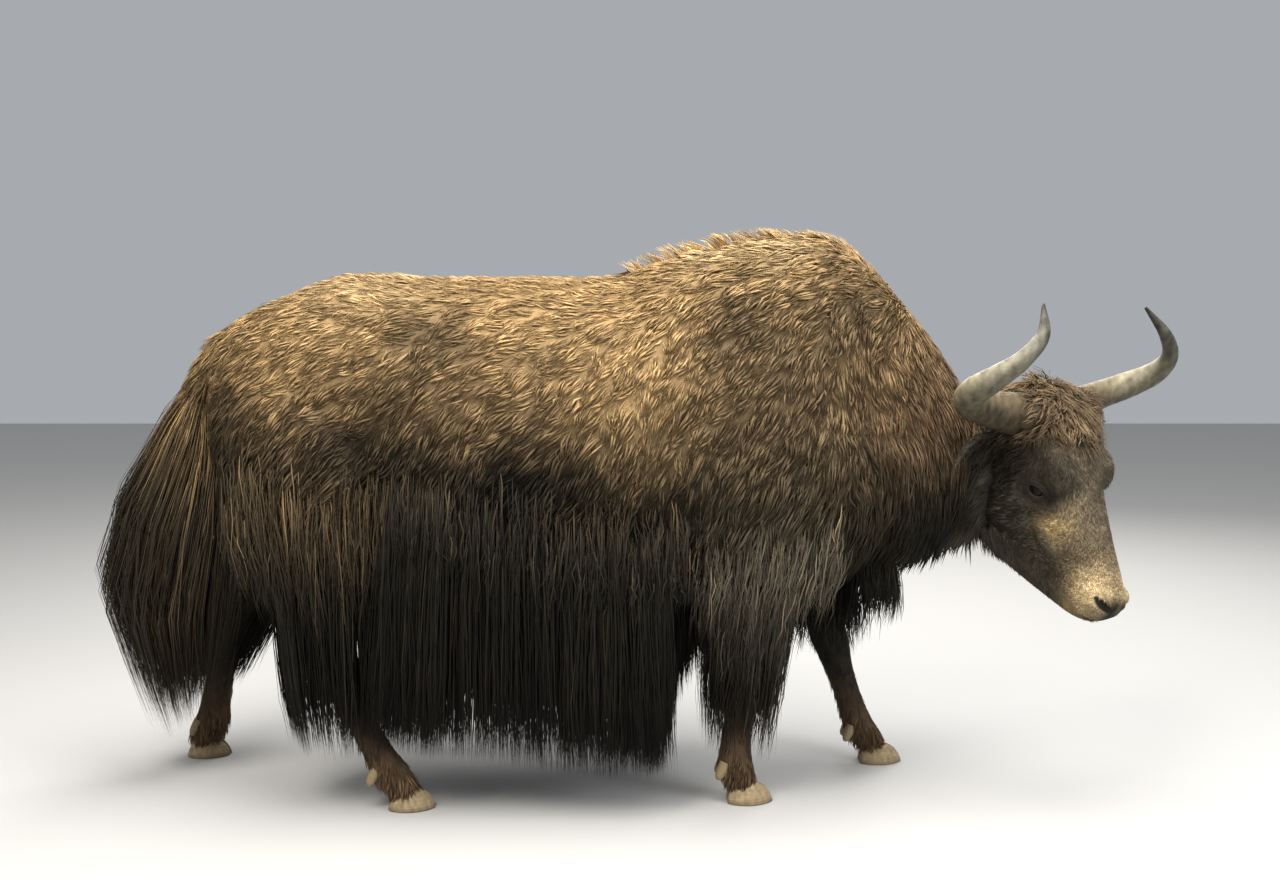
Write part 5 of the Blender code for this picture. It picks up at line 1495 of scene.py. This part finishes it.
def shell(rings, first, last):
    """Vertices and triangles of a closed body from rings of points and a point at each end."""
    count, sides, _ = rings.shape
    vertices = np.concatenate([rings.reshape(-1, 3), [first], [last]])
    k = np.arange(sides)
    after = (k + 1) % sides
    triangles = []
    for i in range(count - 1):
        low, high = i * sides, (i + 1) * sides
        triangles.append(np.stack([low + k, low + after, high + after], axis=1))
        triangles.append(np.stack([low + k, high + after, high + k], axis=1))
    start, end = count * sides, count * sides + 1
    triangles.append(np.stack([np.full(sides, start), after, k], axis=1))
    top = (count - 1) * sides
    triangles.append(np.stack([np.full(sides, end), top + k, top + after], axis=1))
    triangles = np.concatenate(triangles)
    a, b, c = (vertices[triangles[:, i]] for i in range(3))
    volume = (np.cross(a, b) * c).sum()
    return vertices, triangles if volume > 0 else triangles[:, ::-1]


def eyeball(side, hand, material):
    """A dark glass eye with a brown iris and a level oval pupil."""
    out, forward, up = (np.array(axis) for axis in eye_axes(hand))
    t = np.linspace(0.02, math.pi - 0.02, EYE_RINGS)[:, None, None]
    s = np.array(angles(EYE_SIDES))[None, :, None]
    ways = out * np.cos(t) + (forward * np.cos(s) + up * np.sin(s)) * np.sin(t)
    middle = np.array(mirrored(EYE, hand))
    reach = out * EYE_RADIUS
    vertices, triangles = shell(middle + ways * EYE_RADIUS, middle + reach, middle - reach)
    local = (vertices - middle) / EYE_RADIUS
    across, high, facing = local @ forward, local @ up, local @ out
    tones = np.tile(np.array(EYE_BLACK), (len(vertices), 1))
    iris = soft_step(-np.hypot(across, high), -0.66, -0.60) * (facing > 0)
    tones = mixed_in(tones, iris, EYE_IRIS)
    pupil = soft_step(-np.hypot(across / 0.40, high / 0.26), -1.1, -0.9) * (facing > 0)
    tones = mixed_in(tones, pupil, EYE_PUPIL)
    coloured_piece("eyeball_" + side, ["eye_" + side], material, vertices, triangles, tones)


def ways_round(along):
    """Ways out from a path, all round it at each of its steps, without a twist."""
    side_way = unit(np.cross(along[0], HORN_SIDE))
    frames = []
    for way in along:
        side_way = unit(side_way - way * (side_way @ way))
        frames.append((side_way, np.cross(way, side_way)))
    frames = np.array(frames)
    s = np.array(angles(HORN_SIDES))[None, :, None]
    return frames[:, :1] * np.cos(s) + frames[:, 1:] * np.sin(s)


def horn_tones(flat, ways, t, rough, grain, rings):
    """Colours of a horn: tones from root to tip, with painted shade where it faces down and painted light
    where it faces up, with flecks and mottling at its root.
    """
    tones = np.repeat(even_ramp(t[:, 0], HORN_TONES), HORN_SIDES, axis=0)
    # Painted shade and light: darker where the surface faces down, lighter where it faces up
    pale = soft_step((ways @ np.array(HEAD_UP) * -0.2 + ways[:, :, 2] * 0.8).reshape(-1), -0.7, 0.8)
    tones = tones * (0.40 + 0.80 * pale)[:, None]
    flecks = soft_step(ripple(flat, 0.020, 43), 0.5, 1.1) * np.repeat(rough[:, 0], HORN_SIDES)
    tones = mixed_in(tones, flecks * 0.4, HORN_FLECK)
    mottle = 1 + 0.22 * ripple(flat, 0.05, 44) + 0.14 * grain.reshape(-1) + 0.10 * rings.reshape(-1)
    tones *= mottle[:, None]
    return np.concatenate([tones, tones[:1], tones[-1:]])


def horn(side, hand, material):
    """A horn with a grained base, rings towards its root and a slender smooth tip."""
    path = horn_path(hand)
    centres, radii = path[:, :3], path[:, 3:]
    along = unit(np.gradient(centres, axis=0))
    ways = ways_round(along)
    t = np.linspace(0, 1, len(path))[:, None]
    rough = soft_step(-t, -0.42, -0.12)
    places = centres[:, None] + ways * radii[:, :, None]
    flat = places.reshape(-1, 3)
    grain = (ripple(flat, 0.030, 41) + 0.7 * ripple(flat, 0.013, 42)).reshape(len(path), -1)
    rings = np.sin(t * HORN_RINGS + grain * 0.8) * np.clip(1 - t * 1.5, 0, 1)
    swell = grain * HORN_GRAIN * (0.25 + rough) + rings * HORN_RING_HEIGHT - HORN_TRIM
    swell = swell * np.clip(radii / 0.03, 0, 1)
    tones = horn_tones(flat, ways, t, rough, grain, rings)
    places = places + ways * swell[:, :, None]
    vertices, triangles = shell(places, centres[0], centres[-1] + along[-1] * 0.001)
    coloured_piece("horn_sheath_" + side, ["horn_" + side], material, vertices, triangles, tones)


def coronet_height(forward):
    """Height of the claws' upper rim, forward of the middle of the foot."""
    return CORONET_HEEL + (CORONET_FRONT - CORONET_HEEL) * ((forward + FOOT_HEEL) / FOOT_LENGTH)


def claw(leg, place, hand, material):
    """One claw with a flat sole, growth rings on its wall and a rounded rim."""
    _, x, y, _, _ = LEGS[leg][-1]
    middle = np.array((x + FOOT_FORWARD, y, 0.0))
    closed = np.array(CLAW_OUTLINE + CLAW_OUTLINE[:1])
    outline = np.array(smooth_rows(closed, 65))[:-1]
    rings = []
    for level in (0.0, 0.03, *np.linspace(0.08, 0.94, 40), 0.98, 1.0):
        share = np.interp(level, CLAW_LEVELS, CLAW_SHARES)
        share = share + 0.005 * math.sin(level * CLAW_RINGS) * (0.1 < level < 0.9)
        heel = outline[:, 0] < 0
        forward = outline[:, 0] * np.where(heel, 0.5 + 0.5 * share, share) - 0.004 * level
        height = (coronet_height(forward) - 0.0008) * level * CLAW_CROWN
        aside = np.maximum(0.005 + (outline[:, 1] - 0.005) * (1 - (1 - share) * 0.9), 0.004)
        rings.append(middle + np.stack([forward, aside * hand, height], axis=1))
    rings = np.array(rings)
    vertices, triangles = shell(rings, rings[0].mean(axis=0), rings[-1].mean(axis=0))
    level = vertices[:, 2] / CORONET_FRONT
    bands = np.sin(level * CLAW_RINGS + ripple(vertices, 0.06, 51))
    bands = bands * (0.6 + 0.4 * ripple(vertices, 0.03, 53))
    tones = np.tile(np.array(CLAW_TONE), (len(vertices), 1)) * (0.95 + 0.06 * bands)[:, None]
    tones = mixed_in(tones, soft_step(-vertices[:, 2], -0.020, -0.001) * 0.6, CLAW_SOIL)
    tones *= (1 + 0.15 * ripple(vertices, 0.02, 52))[:, None]
    node = f"claw_{leg}_{place}"
    coloured_piece("wall_" + node, [node], material, vertices, triangles, tones)


def dewclaw(leg, place, hand, material):
    """A short blunt ringed cone behind the fetlock."""
    x, y, rx, ry = leg_at(leg, DEWCLAW_HEIGHT)
    root = np.array((x - rx * 0.55, y + hand * ry * 0.45, DEWCLAW_HEIGHT + 0.012))
    way = unit(np.array((-0.42, hand * 0.20, -0.88)))
    side = unit(np.cross(way, (0, 0, 1)))
    other = np.cross(way, side)
    s = np.array(angles(DEWCLAW_SIDES))[:, None]
    circle = side * np.cos(s) + other * np.sin(s)
    rings = []
    for t in np.linspace(0, 1, DEWCLAW_RINGS):
        radius = DEWCLAW_RADIUS * np.interp(t, DEWCLAW_STEPS, DEWCLAW_SHARES)
        radius += 0.0002 * math.sin(t * 40) * (t < 0.85)
        rings.append(root + way * DEWCLAW_LENGTH * t + circle * radius)
    rings = np.array(rings)
    vertices, triangles = shell(rings, root, rings[-1].mean(axis=0))
    reach = (vertices - root) @ way
    tones = np.tile(np.array(CLAW_TONE), (len(vertices), 1)) * (0.80 + 0.05 * np.sin(reach * 600))[:, None]
    node = f"dewclaw_{leg}_{place}"
    coloured_piece("cone_" + node, [node], material, vertices, triangles, tones)


def feet(material):
    """All claws and dewclaws. The inner ones lie towards the midplane."""
    for leg in LEGS:
        outward = SIDES[leg.split("_")[1]]
        for place, hand in (("outer", outward), ("inner", -outward)):
            claw(leg, place, hand, material)
            dewclaw(leg, place, hand, material)


def nostril_distance(places, hand):
    """How far each place is from the carved comma of a nostril."""
    away = []
    for middle, radius in nostril_path(hand):
        away.append(np.linalg.norm(places - np.array(middle), axis=1) - radius)
    return np.min(away, axis=0)


def lid_highlights(places, hand):
    """1 along the ridges of an eye's lids and folds, where a highlight is painted, 0 elsewhere."""
    _, forward, up = (np.array(axis) for axis in eye_axes(hand))
    away = places - np.array(mirrored(EYE, hand))
    across, high = away @ forward, away @ up
    near = soft_step(-np.linalg.norm(away, axis=1), -0.060, -0.045)
    share = np.zeros(len(places))
    for length, height, strength in LID_HIGHLIGHTS:
        reach = np.hypot(across / length, high / height)
        line = np.exp(-((reach - 1) / 0.09) ** 2) * np.clip(np.abs(high) / height, 0.15, 1)
        share = np.maximum(share, line * strength)
    return share * near


def dress_skin(ground):
    """The bare skin in the coat's own colours, with painted shade where hair covers it, in the nostrils and
    round the eyeballs, and painted highlights along the lids.
    """
    places = ground.places
    face = head_share(places)
    # Painted shade: the skin is darkened under the coat, less on the face and on the low legs
    shade = 0.62 + 0.20 * face + 0.20 * leg_share(places) * soft_step(-places[:, 2], -0.55, -0.35)
    tones = tint(places) * shade[:, None]
    # Painted shade inside the nostrils and in the sockets round the eyeballs
    inner = np.zeros(len(places))
    for hand in SIDES.values():
        inner = np.maximum(inner, soft_step(-nostril_distance(places, hand), -0.004, 0.0))
        ball = eye_distance(head_places(places), hand)
        inner = np.maximum(inner, soft_step(-ball, -0.034, -0.030) * 0.9)
    tones = mixed_in(tones, inner * face, BLACK)
    # Painted highlights along the ridges of the lids
    for hand in SIDES.values():
        tones = mixed_in(tones, lid_highlights(places, hand), LID_HIGHLIGHT_TONE)
    nodes = ["torso", "neck", "head", "tail", "ear_right", "ear_left", *("leg_" + name for name in LEGS)]
    coloured_piece("skin", nodes, fur_material("hide", 0.70, 0.5, 260), places, ground.triangles, tones)


def torso_coat(ground):
    """Tufts and fine fur over the torso, the neck and the thighs."""
    x, _, z = ground.middles.T
    body = (1 - head_share(ground.middles)) * (1 - leg_share(ground.middles)) * (z > 0.45)
    material = fur_material("tufts", 0.66, 0.5, 1.0, STREAKS)
    for k, (name, low, high) in enumerate(BANDS):
        weights = body * (x >= low) * (x < high)
        short_coat(ground, "coat_" + name, ["torso"], material, weights, TUFTS[name], 100 + k * 10, TUFTED)
        short_coat(ground, "fur_" + name, ["torso"], material, weights, FINE_FUR[name], 105 + k * 10, FINE)
    neck = body * (x >= NECK_START)
    short_coat(ground, "fur_neck", ["neck"], material, neck, FINE_FUR["neck"], 155, FINE_NECK)
    short_coat(ground, "coat_neck_hair", ["neck"], material, neck, TUFTS["neck"], 150, NECK_BLADES)


def head_coat(ground):
    """Fine flat fur on the face, smallest at the muzzle, and soft fur on the ears."""
    material = fur_material("face_fur", 0.64, 0.3, 1.0, STREAKS)
    local = head_places(ground.middles)
    head = head_share(ground.middles)
    bare = np.linalg.norm((local - NOSE_TIP) / NOSE_SIZE, axis=1)
    head = head * soft_step(bare, 0.8, 1.1)
    for hand in SIDES.values():
        ball = eye_distance(local, hand)
        hole = nostril_distance(ground.middles, hand)
        head = head * soft_step(ball, 0.034, 0.042) * soft_step(hole, 0.001, 0.006)
    head = head * (1 + 1.5 * soft_step(local[:, 0], 0.30, 0.55))
    nodes = ["head", "ear_right", "ear_left"]
    for k, (side, hand) in enumerate(SIDES.items()):
        weights = head * (np.sign(local[:, 2]) == hand)
        name = "coat_face_" + side
        short_coat(ground, name, nodes, material, weights, TUFTS["face"], 170 + 5 * k, FACE_FUR)


def leg_coat(ground):
    """Short hair down the shins, and feathers at the fetlocks."""
    material = fur_material("shin_fur", 0.66, 0.3, 1.0, STREAKS)
    z = ground.middles[:, 2]
    leg = leg_share(ground.middles) * (z > 0.045)
    nodes = ["leg_" + name for name in LEGS]
    short_coat(ground, "coat_shins", nodes, material, leg, TUFTS["shins"], 180, SHIN_HAIR)
    low = leg * (z < 0.34) * (0.4 + soft_step(-z, -0.20, -0.10))
    short_coat(ground, "feathers", nodes, material, low, TUFTS["feathers"], 190, FETLOCK)


def curtains(hair):
    """The skirt of each side, with the hair that falls over it from flank, thigh and shoulder."""
    for side, hand in SIDES.items():
        rows, counts, thigh, share = CURTAINS[side]
        guides = drape_guides(rows, hand, SKIRT_STAND)
        for k, ((depth, width), count) in enumerate(zip(SKIRT_LAYERS, counts)):
            long_coat(f"skirt_{side}_{k}", ["torso"], hair, guides, count, 300 + 40 * k + hand, DARK,
                      depth=depth, width=width, **SKIRT_HANG)
        falls = (("flank", FLANK, FLANK_STAND, 1000, FLANK_TONES),
                 ("thigh", thigh, THIGH_STAND, 1400, THIGH_TONES),
                 ("shoulder", SHOULDER, SHOULDER_STAND, 1200, SHAGGY))
        for name, table, stand, count, tones in falls:
            guides = drape_guides(table, hand, stand)
            long_coat(f"{name}_fall_{side}", ["torso"], hair, guides, int(count * share), 500 + hand, tones,
                      **FALL_HANG)


def long_hair(hair):
    """Hair of the tail, breeches, fore legs and brisket, and the bristles of the crest."""
    long_coat("tail_hair", ["tail"], hair, TAIL_HAIR, 2500, 400, TAIL_TONES, wrap=ROUND_TAIL, **TAIL_HANG)
    for side, rows in (("right", BREECH_RIGHT), ("left", BREECH_LEFT)):
        long_coat("breech_" + side, ["leg_hind_" + side], hair, rows, 1200, 420, DARK, **BREECH_HANG)
    for side, rows, count in (("right", FORE_HAIR_RIGHT, 2200), ("left", FORE_HAIR_LEFT, 1100)):
        leg = "fore_" + side
        guides = fore_guides(leg, rows)
        long_coat("fore_hair_" + side, ["leg_" + leg], hair, guides, count, 430, SLEEVE, **SLEEVE_HANG)
    long_coat("brisket_hair", ["torso"], hair, BRISKET_HAIR, 1150, 440, DARK, **BRISKET_HANG)
    long_coat("crest_bristles", ["torso"], hair, crest_guides(), 900, 450, RIDGE_TONES, **CREST_HANG)


def poll_hair(ground, hair):
    """The mop between the horns and down the forehead, and the hair round the horns and on the cheeks."""
    curls(ground, "forelock", hair, MOP, LEFT, 460, POLL_TONES)
    for side, hand in SIDES.items():
        horn_collar(side, hand, hair)
        curls(ground, "cheek_ruff_" + side, hair, RUFF, hand, 470, CHEEK_TONES, 0.25, 26)


def new_material(name, roughness):
    """A material and its shader."""
    material = bpy.data.materials.new(name)
    material.use_nodes = True
    shader = material.node_tree.nodes["Principled BSDF"]
    shader.inputs["Roughness"].default_value = roughness
    return material, shader


def fur_material(name, roughness, bump, grain, streaks=None, gloss=0.12):
    """Hair or hide that takes its colour from the mesh, with fine grain or streaks along the strands."""
    material, shader = new_material(name, roughness)
    nodes, links = material.node_tree.nodes, material.node_tree.links
    shader.inputs["Specular IOR Level"].default_value = gloss
    layer = nodes.new("ShaderNodeVertexColor")
    layer.layer_name = "tint"
    place = nodes.new("ShaderNodeTexCoord")
    spread = nodes.new("ShaderNodeMapping")
    spread.inputs["Scale"].default_value = streaks or (1.0, 1.0, 1.0)
    noise = nodes.new("ShaderNodeTexNoise")
    noise.inputs["Scale"].default_value = grain
    noise.inputs["Detail"].default_value = 3.0
    shade = nodes.new("ShaderNodeMapRange")
    shade.inputs["To Min"].default_value = 0.70
    shade.inputs["To Max"].default_value = 1.30
    mix = nodes.new("ShaderNodeVectorMath")
    mix.operation = "SCALE"
    relief = nodes.new("ShaderNodeBump")
    relief.inputs["Strength"].default_value = bump
    relief.inputs["Distance"].default_value = 0.003
    links.new(place.outputs["UV" if streaks else "Object"], spread.inputs["Vector"])
    links.new(spread.outputs["Vector"], noise.inputs["Vector"])
    links.new(noise.outputs["Fac"], shade.inputs["Value"])
    links.new(layer.outputs["Color"], mix.inputs[0])
    links.new(shade.outputs["Result"], mix.inputs["Scale"])
    links.new(mix.outputs["Vector"], shader.inputs["Base Color"])
    links.new(noise.outputs["Fac"], relief.inputs["Height"])
    links.new(relief.outputs["Normal"], shader.inputs["Normal"])
    return material


def floor():
    """A large pale floor."""
    bm = bmesh.new()
    for x, y in ((-1, -1), (1, -1), (1, 1), (-1, 1)):
        bm.verts.new((x * FLOOR_REACH, y * FLOOR_REACH, -FLOOR_DROP))
    bm.faces.new(bm.verts[:])
    plane = new_object("floor", bm)
    material, shader = new_material("pale_floor", 0.9)
    shader.inputs["Base Color"].default_value = FLOOR_TONE
    plane.data.materials.append(material)


def soft_light(name, place, size, power, colour):
    """A square area light that looks at the middle of the body."""
    light = bpy.data.lights.new(name, "AREA")
    light.size = size
    light.energy = power
    light.color = colour
    lamp = linked(name, light)
    lamp.location = place
    lamp.rotation_euler = (Vector(LIGHTS_AIM) - Vector(place)).to_track_quat("-Z", "Y").to_euler()


def studio():
    """Pale surroundings, soft lights, and the camera where the photo was taken from."""
    scene = bpy.context.scene
    scene.world = bpy.data.worlds.new("studio")
    scene.world.use_nodes = True
    sky = scene.world.node_tree.nodes["Background"]
    sky.inputs["Color"].default_value = SKY_TONE
    sky.inputs["Strength"].default_value = WORLD_STRENGTH
    scene.view_settings.view_transform = "Standard"
    for row in LIGHTS:
        soft_light(*row)
    lens = bpy.data.cameras.new("camera")
    lens.lens = LENS
    lens.sensor_width = SENSOR_WIDTH
    camera = linked("camera", lens)
    camera.location = CAMERA_PLACE
    camera.rotation_euler = (math.radians(90) - CAMERA_DIP, 0.0, 0.0)
    scene.camera = camera
    floor()


def main():
    """Makes the skin, dresses it, adds the hard parts and sets up the studio."""
    skin = skin_object()
    ground = Ground(skin.data)
    bpy.data.objects.remove(skin)
    dress_skin(ground)
    torso_coat(ground)
    head_coat(ground)
    leg_coat(ground)
    hair = fur_material("hair", 0.58, 0.4, 1.0, STREAKS)
    curtains(hair)
    long_hair(hair)
    poll_hair(ground, hair)
    shiny = fur_material("eye_glass", 0.08, 0.0, 200, gloss=0.10)
    horny = fur_material("horn_matter", 0.42, 0.5, 420)
    hoof = fur_material("claw_matter", 0.55, 0.4, 300)
    for side, hand in SIDES.items():
        eyeball(side, hand, shiny)
        horn(side, hand, horny)
    feet(hoof)
    studio()


main()
